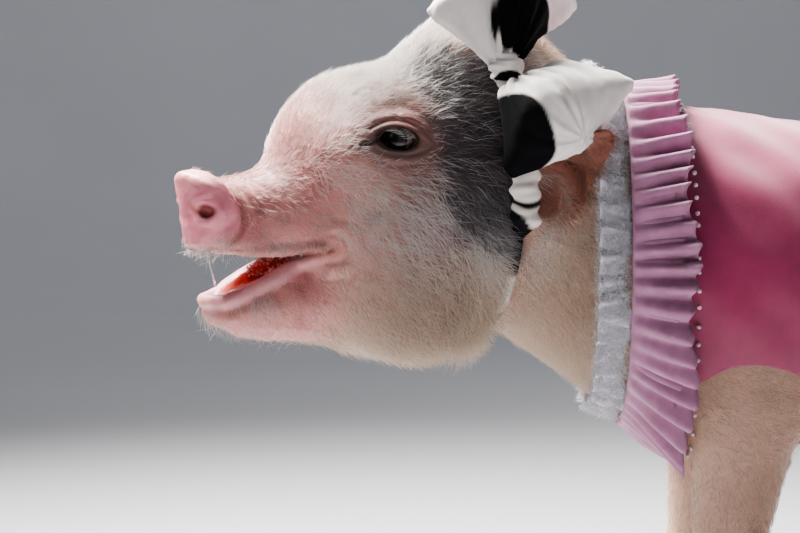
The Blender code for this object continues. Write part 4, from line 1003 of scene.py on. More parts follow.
def skin_tint(world):
    """The skin's colour at each point."""
    p = to_head(world)
    side = both_sides(p)
    on_head = ramp(-world[:, 0], 0.06, 0.10)
    pink = np.maximum(ramp(p[:, 0], -66, -52), ramp(world[:, 0], 0.0, 0.08))
    c = blend(evenly(NECK_TAN, len(p)), PINK, pink)
    c = blend(c, MUZZLE_PINK, on_head * ramp(p[:, 0], 12, 44))
    blotch = 0.5 + 0.5 * waves(p, 6.0, 7.0)
    c = blend(c, srgb(206, 164, 150), 0.30 * blotch)
    # browner blotches: an uneven tone of the skin, and partly painted shade between the bristles
    c = blend(c, srgb(120, 78, 70), 0.35 * on_head * ramp(waves(p, 3.4, 9.0), 0.1, 0.7))
    # painted shade: the skin between the cheeks' bristles, darkened
    cheek = on_head * ramp(-p[:, 0], -24, 6) * ramp(306 - p[:, 2], 0, 16) * ramp(p[:, 0], -66, -56)
    c = blend(c, srgb(108, 70, 66), (0.6 + 0.2 * ramp(-p[:, 0], -8, 12)) * cheek)
    c = blend(c, srgb(82, 64, 66), 0.75 * patch_weight(world, 34))
    c = blend(c, srgb(140, 84, 78), 0.75 * on_head * ramp(-off_eye(p), -30, -14))
    c = blend(c, PATCH_SKIN, patch_weight(world) ** 0.6 * 0.95)
    nose = nose_frame(p)
    on_nose = ramp(nose[:, 0], -13, -3) * ramp(p[:, 0], 55, 62) * ramp(nose[:, 2], -22, -8)
    c = blend(c, NOSE_PINK, on_nose)
    c = blend(c, NOSE_TOP, on_nose * ramp(nose[:, 2], 8, 19))
    inward = abs(nose[:, 1])
    behind = groove(behind_disc(nose) - 1.8, 2.0)
    c = blend(c, FOLD_RED, 0.9 * ramp(p[:, 0], 40, 55) * behind * ramp(inward, 4, 14))
    trough = groove(trough_distance(nose), 2.6) * ramp(inward, 5, 11) * ramp(-inward, -17, -12)
    c = blend(c, srgb(178, 84, 72), 0.6 * trough * ramp(nose[:, 0], 1, 5) * ramp(p[:, 0], 60, 68))
    c = blend(c, NOSTRIL_RED, ramp(-nostril_distance(p), -2.2, 0.0) * ramp(p[:, 0], 60, 66))
    # painted shadow, deep inside each nostril
    c = blend(c, NOSTRIL_SHADOW, ramp(-nostril_distance(p), -1.2, 0.2) * ramp(-nose[:, 0], -3.5, 0.5))
    eye = eye_frame(side)
    a, z = eye[:, 0], eye[:, 2]
    out = eye[:, 1] > 0
    opening = np.sqrt((a / (LID_OPENING[0] + 1.5)) ** 2 + ((z - LID_TILT * a) / (LID_OPENING[1] + 1.2)) ** 2)
    c = blend(c, srgb(116, 80, 77), out * 0.9 * ramp(-opening, -2.6, -1.4))
    crease = z - (9.9 - 0.030 * a**2 + 0.05 * a)
    c = blend(c, FOLD_RED, out * 0.35 * groove(crease, 2.2) * groove(np.maximum(abs(a) - 9, 0), 4))
    c = blend(c, srgb(104, 76, 70), out * 0.7 * ramp(-opening, -2.2, -1.3) * ramp(-z, -1, 4))
    c = blend(c, LID_DARK, out * ramp(-opening, -1.16, -0.98))
    c = blend(c, LID_DARK, out * groove(tear_distance(a, z), 1.7))
    depth = -mouth_distance(p)
    sunk = -full_flesh(world) - coat_depth(world)
    in_mouth = ramp(depth, -4.0, -1.5) * ramp(p[:, 0], 20, 26) * ramp(sunk, 2.0, 3.9)
    low_lip = ramp(p[:, 0], 26, 36) * ramp(depth, -7.5, -4.0) * ramp(243 - p[:, 2], -4, 4)
    c = blend(c, LIP_PINK, low_lip * (1 - in_mouth))
    # painted light: the inner lips' red, brightened as if lit through the lip
    c = blend(c, MOUTH_RED_GLOW, in_mouth)
    # painted shade, deeper and further back in the mouth
    c = blend(c, MOUTH_BACK_SHADE, in_mouth * ramp(46 - p[:, 0], 0, 16) * ramp(sunk, 5, 9))
    corner = np.hypot(side[:, 0] - MOUTH_CORNER[0] - 1, side[:, 2] - MOUTH_CORNER[1])
    by_lips = ramp(depth, -3.6, -0.8)
    c = blend(c, CORNER_BROWN, 0.85 * by_lips * ramp(-corner, -20, -4) * ramp(side[:, 1], 12, 18))
    c = blend(c, FOLD_RED, 0.35 * ramp(-corner, -13, -3) * ramp(side[:, 1], 12, 18))
    ear, along = on_ear(world)
    c = blend(c, EAR_RUST, ear)
    c = blend(c, EAR_DEEP, ear * 0.6 * ramp(-along, -26, -8))
    return c


def wetness(world):
    """1 where the skin is wet: the mouth's inside, the lips' edge, the nose's face and the lids."""
    p = to_head(world)
    depth = -mouth_distance(p)
    sunk = -full_flesh(world) - coat_depth(world)
    wet = ramp(depth, -4.0, -1.5) * ramp(p[:, 0], 20, 26) * ramp(sunk, 1.2, 3.5)
    nose = nose_frame(p)
    wet = np.maximum(wet, 0.45 * ramp(nose[:, 0], 0, 5) * ramp(p[:, 0], 60, 66))
    wet *= 1 - 0.6 * ramp(sunk, 6, 10)
    wet = np.where(nostril_distance(p) < 1.5, 0, wet)
    eye = eye_frame(both_sides(p))
    opening = np.sqrt((eye[:, 0] / LID_OPENING[0]) ** 2 + (eye[:, 2] / LID_OPENING[1]) ** 2)
    return np.maximum(wet, 0.8 * ramp(-opening, -1.3, -1.1) * (eye[:, 1] > 0))


def set_colour(mesh, colours):
    layer = mesh.attributes.new("tint", "FLOAT_COLOR", "POINT")
    rgba = np.column_stack([np.clip(colours, 0, 1), np.ones(len(colours))])
    layer.data.foreach_set("color", rgba.astype(np.float32).ravel())


def set_value(mesh, values, name):
    layer = mesh.attributes.new(name, "FLOAT", "POINT")
    layer.data.foreach_set("value", np.asarray(values, dtype=np.float32))


# Materials


class Shader:
    """A Principled material and the few node chains that the pieces share."""

    def __init__(self, name, **values):
        self.material = bpy.data.materials.new(name)
        self.material.use_nodes = True
        self.nodes = self.material.node_tree.nodes
        self.links = self.material.node_tree.links
        self.base = self.nodes["Principled BSDF"]
        self.coords = self.nodes.new("ShaderNodeTexCoord")
        for key, value in values.items():
            self.base.inputs[key.replace("_", " ")].default_value = value

    def noise(self, scale, detail=3.0, stretch=None):
        made = self.nodes.new("ShaderNodeTexNoise")
        made.inputs["Scale"].default_value = scale
        made.inputs["Detail"].default_value = detail
        source = self.coords.outputs["Object"]
        if stretch:
            squeeze = self.nodes.new("ShaderNodeMapping")
            squeeze.inputs["Scale"].default_value = stretch
            self.links.new(source, squeeze.inputs["Vector"])
            source = squeeze.outputs["Vector"]
        self.links.new(source, made.inputs["Vector"])
        return made.outputs["Fac"]

    def attribute(self, name, output="Color"):
        made = self.nodes.new("ShaderNodeAttribute")
        made.attribute_name = name
        return made.outputs[output]

    def mottled(self, colour, factor, dark):
        """The colour, multiplied by an uneven tone between dark and 1."""
        tone = self.nodes.new("ShaderNodeMapRange")
        tone.inputs["From Min"].default_value = 0.3
        tone.inputs["From Max"].default_value = 0.7
        tone.inputs["To Min"].default_value = dark
        tone.inputs["To Max"].default_value = 1.0
        self.links.new(factor, tone.inputs["Value"])
        mix = self.nodes.new("ShaderNodeMix")
        mix.data_type = "RGBA"
        mix.blend_type = "MULTIPLY"
        mix.inputs["Factor"].default_value = 1.0
        if hasattr(colour, "links"):
            self.links.new(colour, mix.inputs["A"])
        else:
            mix.inputs["A"].default_value = (*colour, 1)
        self.links.new(tone.outputs["Result"], mix.inputs["B"])
        return mix.outputs["Result"]

    def colour(self, socket):
        self.links.new(socket, self.base.inputs["Base Color"])
        return self

    def bump(self, heights, strength, distance):
        """Adds one bump after those already there."""
        made = self.nodes.new("ShaderNodeBump")
        made.inputs["Strength"].default_value = strength
        made.inputs["Distance"].default_value = distance
        self.links.new(heights, made.inputs["Height"])
        old = self.base.inputs["Normal"]
        if old.is_linked:
            self.links.new(old.links[0].from_socket, made.inputs["Normal"])
        self.links.new(made.outputs["Normal"], old)
        return self

    def map_to(self, value, socket, low, high):
        made = self.nodes.new("ShaderNodeMapRange")
        made.inputs["To Min"].default_value = low
        made.inputs["To Max"].default_value = high
        self.links.new(value, made.inputs["Value"])
        self.links.new(made.outputs["Result"], self.base.inputs[socket])
        return self


def skin_material():
    s = Shader("pig_skin", Subsurface_Weight=0.18, Subsurface_Scale=0.004, Specular_IOR_Level=0.4)
    s.base.inputs["Subsurface Radius"].default_value = (1.0, 0.35, 0.25)
    s.colour(s.mottled(s.attribute("tint"), s.noise(260, 4.0), 0.86))
    s.bump(s.noise(900, 4.0), 0.35, 0.0006)
    s.bump(s.noise(2600, 2.0), 0.25, 0.0003)
    s.map_to(s.attribute("wet", "Fac"), "Roughness", 0.55, 0.12)
    return s.material


def hair_material():
    s = Shader("bristle", Roughness=0.42, Specular_IOR_Level=0.45)
    s.colour(s.attribute("tint"))
    through = s.nodes.new("ShaderNodeBsdfTranslucent")
    s.links.new(s.attribute("tint"), through.inputs["Color"])
    mix = s.nodes.new("ShaderNodeMixShader")
    mix.inputs["Fac"].default_value = 0.3
    s.links.new(s.base.outputs["BSDF"], mix.inputs[1])
    s.links.new(through.outputs["BSDF"], mix.inputs[2])
    s.links.new(mix.outputs["Shader"], s.nodes["Material Output"].inputs["Surface"])
    return s.material


def cloth_material(name, colour, roughness, weave, stretch, sheen, dark, gloss=0.3):
    s = Shader(name, Roughness=roughness, Sheen_Weight=sheen, Specular_IOR_Level=gloss)
    base = s.attribute("tint") if colour is None else colour
    s.colour(s.mottled(base, s.noise(140, 4.0), dark))
    s.bump(s.noise(weave, 2.0, stretch), 0.35, 0.0004)
    return s.material


# The coat

TUFT_PATCH = 0.003     # a bristle's own patch on the coat's map
# By the number of rings: how far along the bristle they lie, and how thick it is there
BRISTLE_STEPS = {2: (0.0, 0.5, 1.0), 3: (0.0, 0.36, 0.70, 1.0)}
BRISTLE_THICK = {2: (1.0, 0.75), 3: (1.0, 0.85, 0.55)}
ROOT_DEEP = 0.0006     # how deep its root sits in the skin


def strands(name, roots, normals, lies, lengths, widths, lift, colours, tips, uv, rng, material,
            curl=0.25, rings=3):
    """Thin, three-sided tapered bristles as one joined mesh, each with its own patch on the coat's map."""
    n = len(roots)
    each = 3 * rings + 1
    side = unit_rows(np.cross(normals, lies))
    start = unit_rows(lies * np.cos(lift)[:, None] + normals * np.sin(lift)[:, None])
    bend = unit_rows(lies * np.cos(lift * 0.35)[:, None] + normals * np.sin(lift * 0.35)[:, None]
                     + side * rng.normal(0, curl, n)[:, None] - np.array([0, 0, 0.15]))
    steps, thick = BRISTLE_STEPS[rings], BRISTLE_THICK[rings]
    points = np.empty((n, each, 3))
    shade = np.empty((n, each, 3))
    for k, t in enumerate(steps):
        middle = roots + (start * t + (bend - start) * t * t * 0.6) * lengths[:, None]
        if k == 0:
            middle = middle - normals * ROOT_DEEP
        tint = colours + (tips - colours) * t
        if k == rings:
            points[:, -1], shade[:, -1] = middle, tint
            continue
        for corner in range(3):
            turn = 2 * math.pi * corner / 3
            off = side * math.cos(turn) + normals * math.sin(turn)
            points[:, 3 * k + corner] = middle + off * (widths * thick[k] / 2)[:, None]
            shade[:, 3 * k + corner] = tint
    faces = []
    for k in range(rings - 1):
        for a, b in ((0, 1), (1, 2), (2, 0)):
            faces.append((3 * k + a, 3 * k + b, 3 * k + 3 + b))
            faces.append((3 * k + a, 3 * k + 3 + b, 3 * k + 3 + a))
    last, tip = 3 * rings - 3, 3 * rings
    faces += [(last, last + 1, tip), (last + 1, last + 2, tip), (last + 2, last, tip)]
    faces = np.array(faces)
    index = (faces[None] + each * np.arange(n)[:, None, None]).reshape(-1, 3)
    mesh = bpy.data.meshes.new(name)
    mesh.vertices.add(n * each)
    mesh.vertices.foreach_set("co", points.reshape(-1, 3).ravel())
    mesh.loops.add(index.size)
    mesh.loops.foreach_set("vertex_index", index.ravel().astype(np.int32))
    mesh.polygons.add(len(index))
    mesh.polygons.foreach_set("loop_start", np.arange(0, index.size, 3, dtype=np.int32))
    mesh.update()
    mesh.validate()
    set_colour(mesh, shade.reshape(-1, 3))
    patch = np.array([(0, 0), (1, 0), (0.5, 1)]) * TUFT_PATCH
    spots = np.vstack([patch] * rings + [[[TUFT_PATCH / 2, TUFT_PATCH / 2]]])
    grid = (uv[:, None, :] + spots[None]).reshape(-1, 2)
    layer = mesh.uv_layers.new(name="OFBake")
    layer.data.foreach_set("uv", np.clip(grid[index.ravel()], 0, 1).astype(np.float32).ravel())
    mesh.materials.append(material)
    return add_piece(name, mesh)


def unit_rows(v):
    return v / np.maximum(np.linalg.norm(v, axis=1), 1e-12)[:, None]


def laid_down(lies, normals):
    """The part of each direction that is square to the normal, at unit length."""
    return unit_rows(lies - (lies * normals).sum(axis=1)[:, None] * normals)


def lie_of_coat(world):
    """Which way the coat lies: back over the head and trunk, down the sides and the legs."""
    p = to_head(world)
    on_head = ramp(-world[:, 0], 0.04, 0.10)
    head = unit_rows(from_head(p + np.array([-1.0, 0, 0])) - world)
    head[:, 2] -= 0.95 * ramp(312 - p[:, 2], 0, 48)
    head[:, 2] += 0.35 * ramp(p[:, 0], 5, 40)
    leg = ramp(0.155 - world[:, 2], 0, 0.03)
    down = 0.35 * ramp(0.30 - world[:, 2], 0, 0.08) + 0.9 * leg
    trunk_lie = np.column_stack([1 - 0.9 * leg, 0 * leg, -down])
    return blend(trunk_lie, head, on_head)


def coat(world):
    """Bristles to a square millimetre, their length in millimetres, and how far they stand off."""
    p = to_head(world)
    side = both_sides(p)
    on_head = ramp(-world[:, 0], 0.05, 0.085)
    forehead = ramp(p[:, 2], 288, 305) * ramp(46 - abs(p[:, 1]) - 0.25 * (p[:, 2] - 290), 0, 18)
    muzzle = ramp(p[:, 0], 18, 44)
    jaw = ramp(p[:, 0], 18, 34) * ramp(250 - p[:, 2], 0, 6)
    low = ramp(248 - p[:, 2], 0, 30)
    dense = 0.52 + 0.85 * forehead + 0.35 * low
    dense = dense * (1 - 0.48 * muzzle) * (1 - 0.40 * jaw)
    length = 12.5 - 2.5 * forehead + 0.5 * low - 7.0 * muzzle - 1.5 * jaw
    stand = 0.38 + 0.25 * forehead - 0.08 * muzzle - 0.10 * low
    at_band = ramp(p[:, 0], -52, -44) * ramp(-p[:, 0], 30, 38) * ramp(276 - p[:, 2], 0, 14)
    dense = dense + 1.0 * at_band
    length = length + 7.0 * at_band
    stand = stand + 0.28 * at_band
    top = ramp(p[:, 2], 276, 284)
    dense += muzzle * top * 0.55
    length += muzzle * top * 1.5
    nose = nose_frame(p)
    rim = ramp(p[:, 0], 58, 66) * ramp(p[:, 2], 238, 242)
    bare = ramp(nose[:, 0], -10, -4) * rim
    dense *= 1 - bare * (0.80 + 0.20 * ramp(nose[:, 2], -14, -8) * ramp(nose[:, 0], -2, 3))
    length += 2.5 * rim * ramp(-nose[:, 2], 10, 16)
    eye = eye_frame(side)
    opening = np.sqrt((eye[:, 0] / 15.0) ** 2 + (eye[:, 2] / 10.0) ** 2)
    dense *= np.where(eye[:, 1] > 0, ramp(opening, 0.95, 1.4), 1.0)
    length *= np.where(eye[:, 1] > 0, 0.5 + 0.5 * ramp(opening, 1.0, 2.2), 1.0)
    dense *= ramp(mouth_distance(p), 2.4, 4.5)
    dense = np.where(nostril_distance(p) < 2, 0, dense)
    neck = ramp(-p[:, 0], 60, 66)
    dense = dense + (1.0 - dense) * neck * on_head
    length = length + (14 - length) * neck
    leg = ramp(0.15 - world[:, 2], 0, 0.03)
    rump = np.where(world[:, 0] > 0.02, 0.36 + 0.14 * leg, 0.4)
    belly = ramp(0.17 - world[:, 2], 0, 0.02) * (1 - leg)
    trunk_dense = rump * (1 - 0.5 * belly)
    trunk_length = 8.5 - 2.8 * leg
    dense = trunk_dense + (dense - trunk_dense) * on_head
    length = trunk_length + (length - trunk_length) * on_head
    stand = 0.30 + (stand - 0.30) * on_head
    body = to_body(world)
    dressed = (body[:, 0] > COLLAR_X / MM - 4) & (body[:, 0] < WAIST_X / MM - 3)
    hole, size = np.array(ARM_HOLE[0]), np.array(ARM_HOLE[1]) - 3
    in_hole = (((both_sides(body) - hole) / size) ** 2).sum(axis=1) < 1
    dense = np.where(dressed & ~in_hole & (body[:, 2] > 118), 0, dense)
    band = np.abs(p[:, 0] - BAND_U) < 3.0 + 4.0 * ramp(p[:, 2], 246, 254)
    dense = np.where(band & (on_head > 0.5), 0, dense)
    ear = on_ear(world)[0]
    dense = dense + (1.0 - dense) * ear
    length = length + (7.0 - length) * ear
    dense = np.where(body[:, 2] < 26, 0, dense)
    return np.maximum(dense, 0), length, stand


def hair_tint(world, rng):
    """The bristles' colour at root and tip."""
    p = to_head(world)
    on_head = ramp(-world[:, 0], 0.06, 0.10)
    low = ramp(262 - p[:, 2], 0, 40)
    c = blend(evenly(WHITE_HAIR, len(p)), CREAM_HAIR, low)
    c = blend(c, CREAM_HAIR, 1 - on_head)
    c = blend(c, TAN_HAIR, ramp(-p[:, 0], 66, 84) * on_head * 0.75)
    c = blend(c, srgb(170, 130, 122), 0.7 * on_head * ramp(-off_eye(p), -34, -16))
    c = blend(c, srgb(216, 150, 140), 0.60 * on_head * ramp(p[:, 0], 16, 44))
    ear = on_ear(world)[0]
    c = blend(c, RUST_HAIR, ear)
    dark = patch_weight(world)
    some = rng.random(len(p))
    black_share = 0.74 - 0.50 * ramp(294 - p[:, 2], 0, 28) * on_head
    inside = np.where((some < black_share)[:, None], DARK_HAIR, GREY_HAIR)
    dark = (rng.random(len(p)) < dark**0.6).astype(float)
    root = blend(c, inside, dark)
    paler = (0.25 - 0.17 * dark + 0.24 * dark * (some > 0.72))[:, None]
    tip = root + (WHITE_HAIR - root) * paler * (1 - 0.6 * ear)[:, None]
    # a random tone for each bristle, with painted shade darkening those under the jaw and on the throat
    tone_and_shade = (rng.uniform(0.84, 1.06, len(p)) * (1 - 0.15 * ramp(246 - p[:, 2], 0, 26) * on_head))[:, None]
    return root * tone_and_shade, tip * tone_and_shade


def coat_map(world):
    """The coat's place on an unwrap of the skin: along the body, and round it."""
    p = to_head(world)
    on_head = world[:, 0] < -0.075
    left = np.where(on_head, p[:, 1], -world[:, 1] / MM)
    up = np.where(on_head, p[:, 2] - 270, world[:, 2] / MM - 228)
    across = np.arctan2(left, up)
    along = np.where(on_head, (p[:, 0] + 130) / 240, (world[:, 0] + 0.10) / 0.42)
    leg = world[:, 2] < 0.15
    which = (world[:, 0] > 0.1) * 2 + (world[:, 1] > 0) * 1
    foot = np.array([-0.015, 0.230])[(world[:, 0] > 0.1) * 1]
    round_leg = np.arctan2(abs(world[:, 1]) - 0.045, world[:, 0] - foot)
    on_leg = (which + 0.5 + round_leg / (2 * math.pi) * 0.96) / 4
    u = np.where(leg & ~on_head, on_leg, 0.5 + across / (2 * math.pi) * 0.98)
    v = np.where(leg & ~on_head, world[:, 2] / 0.16, along)
    return np.clip(np.column_stack([u, v]), 0.002, 0.995)


def skin_samples(skin, rng, share):
    """Random places on the skin by the coat's density: points and the skin's normals there."""
    mesh = skin.data
    mesh.calc_loop_triangles()
    tri = np.empty(len(mesh.loop_triangles) * 3, dtype=np.int64)
    mesh.loop_triangles.foreach_get("vertices", tri)
    tri = tri.reshape(-1, 3)
    p, normal = vertices(skin), vertex_normals(skin)
    a, b, c = p[tri[:, 0]], p[tri[:, 1]], p[tri[:, 2]]
    area = np.linalg.norm(np.cross(b - a, c - a), axis=1) / 2 / MM**2
    middle = (a + b + c) / 3
    dense = coat(middle)[0]
    weight = area * dense * share
    count = int(weight.sum())
    pick = rng.choice(len(tri), count, p=weight / weight.sum())
    s, t = rng.random(count), rng.random(count)
    flip = s + t > 1
    s, t = np.where(flip, 1 - s, s), np.where(flip, 1 - t, t)
    corners, shares = tri[pick].T, (1 - s - t, s, t)
    points, normals = (sum(values[corner] * share[:, None] for corner, share in zip(corners, shares))
                       for values in (p, normal))
    return points, unit_rows(normals)


LIE_JITTER = 0.42      # how far the bristles' headings stray, in radians


def grow(name, points, normals, rng, material, rings):
    """Bristles at the given places, along the lie of the coat, as pieces below 13,000 bristles."""
    n = len(points)
    _, length, stand = coat(points)
    lie = lie_of_coat(points)
    lie = laid_down(lie, normals)
    side = np.cross(normals, lie)
    turn = rng.normal(0, LIE_JITTER, n)
    lie = lie * np.cos(turn)[:, None] + side * np.sin(turn)[:, None]
    lengths = length * rng.uniform(0.65, 1.2, n) * MM
    widths = (0.25 - 0.05 * ramp(to_head(points)[:, 0], -20, 30)) * rng.uniform(0.75, 1.25, n) * MM
    lift = np.clip(stand + rng.normal(0, 0.12, n), 0.08, 1.2)
    root, tip = hair_tint(points, rng)
    strands(name, points, normals, lie, lengths, widths, lift, root, tip, coat_map(points), rng, material,
            rings=rings)


MOST_BRISTLES = 13000  # the most bristles in one piece; in one piece, for its limit of triangles


def make_coat(skin):
    """The coat's pieces, region by region, finer on the side that the photo shows."""
    rng = np.random.default_rng(11)
    material = hair_material()
    points, normals = skin_samples(skin, rng, 1.0)
    p = to_head(points)
    front, left, high = p[:, 0] > -20, p[:, 1] > 0, p[:, 2] > 262
    cheek = ~front & (p[:, 0] > -60)
    neck = (p[:, 0] <= -60) & (points[:, 0] < -0.06)
    body, leg, hind = points[:, 0] >= -0.06, points[:, 2] <= 0.15, points[:, 0] >= 0.1
    right_of_body = points[:, 1] >= 0
    regions = {
        "coat_face_left": front & left & high,
        "coat_face_right": front & ~left & high,
        "coat_jaw_left": front & left & ~high,
        "coat_jaw_right": front & ~left & ~high,
        "coat_cheek_left": cheek & left,
        "coat_cheek_right": cheek & ~left,
        "coat_neck": neck & left,
        "coat_nape": neck & ~left,
        "coat_trunk_left": body & ~leg & ~right_of_body,
        "coat_trunk_right": body & ~leg & right_of_body,
        "coat_forelegs": body & leg & ~hind,
        "coat_hind_legs": leg & hind,
    }
    for name, here in regions.items():
        rings = 3 if name.endswith("left") and "trunk" not in name else 2
        here = np.flatnonzero(here)[:MOST_BRISTLES]
        grow(name, points[here], normals[here], rng, material, rings)
    return material


# The eyes

GAZE = (0.30, 1.0, 0.0)    # in the eye's frame
IRIS_RADIUS = 8.0
PUPIL_RADIUS = 3.4


def make_eye(side, name, material):
    """An eyeball with its cornea: rings of points round the line of sight, coloured by the angle off it."""
    angles = np.radians(np.concatenate([np.linspace(0, 48, 34), np.linspace(51, 180, 30)]))
    turns = np.linspace(0, 2 * math.pi, 72, endpoint=False)
    gaze = unit(np.array(GAZE, float))
    left = unit(np.cross((0, 0, 1), gaze))
    up = np.cross(gaze, left)
    iris_edge = math.asin(IRIS_RADIUS / EYE_RADIUS)
    a, t = np.meshgrid(angles, turns, indexing="ij")
    bulge = 0.5 * np.clip(1 - (a / (iris_edge * 1.12)) ** 2, 0, 1)
    radius = EYE_RADIUS - 0.25 + bulge
    spots = (np.cos(a)[..., None] * gaze + (np.sin(a) * np.cos(t))[..., None] * left
             + (np.sin(a) * np.sin(t))[..., None] * up) * radius[..., None]
    points = from_head([eye_point(side, *spot) for spot in spots.reshape(-1, 3)])
    mesh = wrapped_mesh(name, points.reshape(spots.shape), weld=1e-7)
    local = unit_rows(eye_frame(both_sides(to_head(np.array([v.co[:] for v in mesh.vertices])))))
    off = np.arccos(np.clip(local @ gaze, -1, 1)) * EYE_RADIUS
    round_it = np.arctan2(local @ up, local @ left)
    fibre = 0.5 + 0.5 * np.sin(round_it * 61 + 2.0 * np.sin(round_it * 17)) * np.sin(round_it * 23 + 1.0)
    colour = evenly(srgb(34, 28, 26), len(off))
    colour = blend(colour, srgb(56, 47, 42), fibre * ramp(off, PUPIL_RADIUS, PUPIL_RADIUS + 1.5) * 0.8)
    colour = blend(colour, srgb(18, 14, 13), ramp(off, IRIS_RADIUS - 1.6, IRIS_RADIUS - 0.4))
    colour = blend(colour, srgb(5, 5, 7), 1 - ramp(off, PUPIL_RADIUS - 0.3, PUPIL_RADIUS + 0.4))
    colour = blend(colour, srgb(128, 118, 108), ramp(off, IRIS_RADIUS - 0.1, IRIS_RADIUS + 0.9))
    colour = blend(colour, srgb(96, 56, 52), ramp(off, IRIS_RADIUS + 1.0, IRIS_RADIUS + 3.5) * 0.7)
    set_colour(mesh, colour)
    mesh.materials.append(material)
    return add_piece(name, mesh)


def eye_material():
    s = Shader("eyeball", Roughness=0.06, Coat_Weight=0.7, Coat_Roughness=0.01, Specular_IOR_Level=0.1)
    s.colour(s.mottled(s.attribute("tint"), s.noise(900, 3.0), 0.8))
    s.bump(s.noise(700, 2.0), 0.04, 0.0002)
    return s.material


def make_lashes(rng, material):
    """Stiff pale lashes along each lid, longer above."""
    for side, name in ((1, "lashes_left"), (-1, "lashes_right")):
        roots, outs, lies, lengths = [], [], [], []
        for upper, count, length in ((1, 30, 7.5), (-1, 12, 3.5)):
            for turn in np.linspace(0.12, 0.88, count) * math.pi + rng.uniform(-0.03, 0.03, count):
                along = LID_OPENING[0] * math.cos(turn) * 1.05
                up = upper * LID_OPENING[1] * math.sin(turn) * (1.0 if upper > 0 else LOWER_LID)
                up += LID_TILT * along + upper * 0.7
                out = math.sqrt((EYE_RADIUS + 2.0) ** 2 - along**2 - up**2)
                here = eye_point(side, along, out, up)
                ahead = eye_point(side, along + 3.2, out + 1.6, up - 2.6 - upper * 2.4)
                roots.append(from_head(here)[0])
                outs.append(from_head(ahead)[0] - from_head(here)[0])
                lies.append(from_head(eye_point(side, along, out, up + upper))[0] - from_head(here)[0])
                lengths.append(length * rng.uniform(0.7, 1.1) * MM)
        roots, outs, lies = np.array(roots), unit_rows(np.array(outs)), unit_rows(np.array(lies))
        lies = laid_down(lies, outs)
        n = len(roots)
        white = evenly(srgb(236, 228, 222), n)
        strands(name, roots, outs, lies, np.array(lengths), np.full(n, 0.00026), np.full(n, 1.25),
                white * 0.8, white, coat_map(roots), rng, material, curl=0.1)


# The mouth's own pieces


def make_tongue():
    """The tongue: a rounded slab with a groove along it and small bumps over it."""
    bm, q = sphere(5)
    centre, size = np.array(TONGUE[0], float), np.array(TONGUE[1], float)
    q[:, 2] = np.sign(q[:, 2]) * abs(q[:, 2]) ** 0.8
    p = centre + q * size
    top = ramp(q[:, 2], 0, 0.4)
    p[:, 2] += top * (0.9 * abs(q[:, 1]) - 1.1 * groove(q[:, 1], 0.16) + 0.22 * waves(p, 1.1, 1.0)
                      + 0.5 * waves(p, 5.0, 2.0))
    p[:, 0] -= 4.0
    p[:, 2] -= 1.5 + 2.5 * ramp(q[:, 0], 0.0, 1.0)
    for vert, spot in zip(bm.verts, from_head(p)):
        vert.co = spot
    mesh = mesh_from(bm, "tongue_flesh")
    # painted shade: the tongue darker towards its back, deeper in the mouth
    set_colour(mesh, blend(evenly(srgb(206, 120, 128), len(p)), srgb(150, 66, 70), ramp(-q[:, 0], -0.2, 0.8)))
    mesh.materials.append(flesh_material("tongue_flesh", 0.6))
    tongue = add_piece("tongue_flesh", mesh)
    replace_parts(tongue, "tongue")


def flesh_material(name, bumps):
    """Wet red flesh, as on the tongue and inside the cheeks."""
    s = Shader(name, Subsurface_Weight=0.3, Subsurface_Scale=0.004, Specular_IOR_Level=0.6)
    s.base.inputs["Subsurface Radius"].default_value = (1.0, 0.3, 0.25)
    s.colour(s.mottled(s.attribute("tint"), s.noise(600, 4.0), 0.8))
    s.bump(s.noise(1500, 3.0), bumps, 0.0008)
    s.map_to(s.noise(200, 2.0), "Roughness", 0.1, 0.35)
    return s.material


def make_papillae(skin, rng):
    """The small fleshy points inside the cheeks, between the lips."""
    p, normal = vertices(skin), vertex_normals(skin)
    head = to_head(p)
    sunk = -full_flesh(p) - coat_depth(p)
    inside = (head[:, 0] > 32) & (head[:, 0] < np.where(head[:, 2] > 241, 50, 55))
    inside &= (sunk > 2.6) & (sunk < 7.5) & (-mouth_distance(head) > -2.5)
    found = rng.permutation(np.flatnonzero(inside & (abs(head[:, 1]) > 8)))
    chosen = np.empty((0, 3))
    bm = bmesh.new()
    for number in found:
        if len(chosen) and np.linalg.norm(chosen - p[number], axis=1).min() < 0.0018:
            continue
        chosen = np.vstack([chosen, p[number]])
        if len(chosen) > 230:
            break
        axis = unit(normal[number] + rng.normal(0, 0.25, 3))
        side = unit(np.cross(axis, (0.3, 0.1, 1)))
        other = np.cross(axis, side)
        base, length = rng.uniform(0.4, 0.8) * MM, rng.uniform(1.2, 3.0) * MM
        rings = []
        for t in (-0.4, 0.15, 0.5, 0.8, 0.95):
            radius = base * math.sqrt(max(1 - max(t, 0) ** 2.2, 0.02))
            ring = [bm.verts.new(p[number] + axis * (t * length)
                    + (side * math.cos(k * math.pi / 4) + other * math.sin(k * math.pi / 4)) * radius)
                    for k in range(8)]
            rings.append(ring)
        bridge(bm, rings)
        bm.faces.new(rings[-1])
    mesh = mesh_from(bm, "mouth_papillae")
    count = len(mesh.vertices)
    # the papillae's own pale pink, made lighter by painted light where the mouth's inside lies in shade
    set_colour(mesh, blend(evenly(srgb(252, 214, 202), count), srgb(242, 166, 152), rng.random(count)))
    mesh.materials.append(flesh_material("papillae", 0.3))
    add_piece("mouth_papillae", mesh)


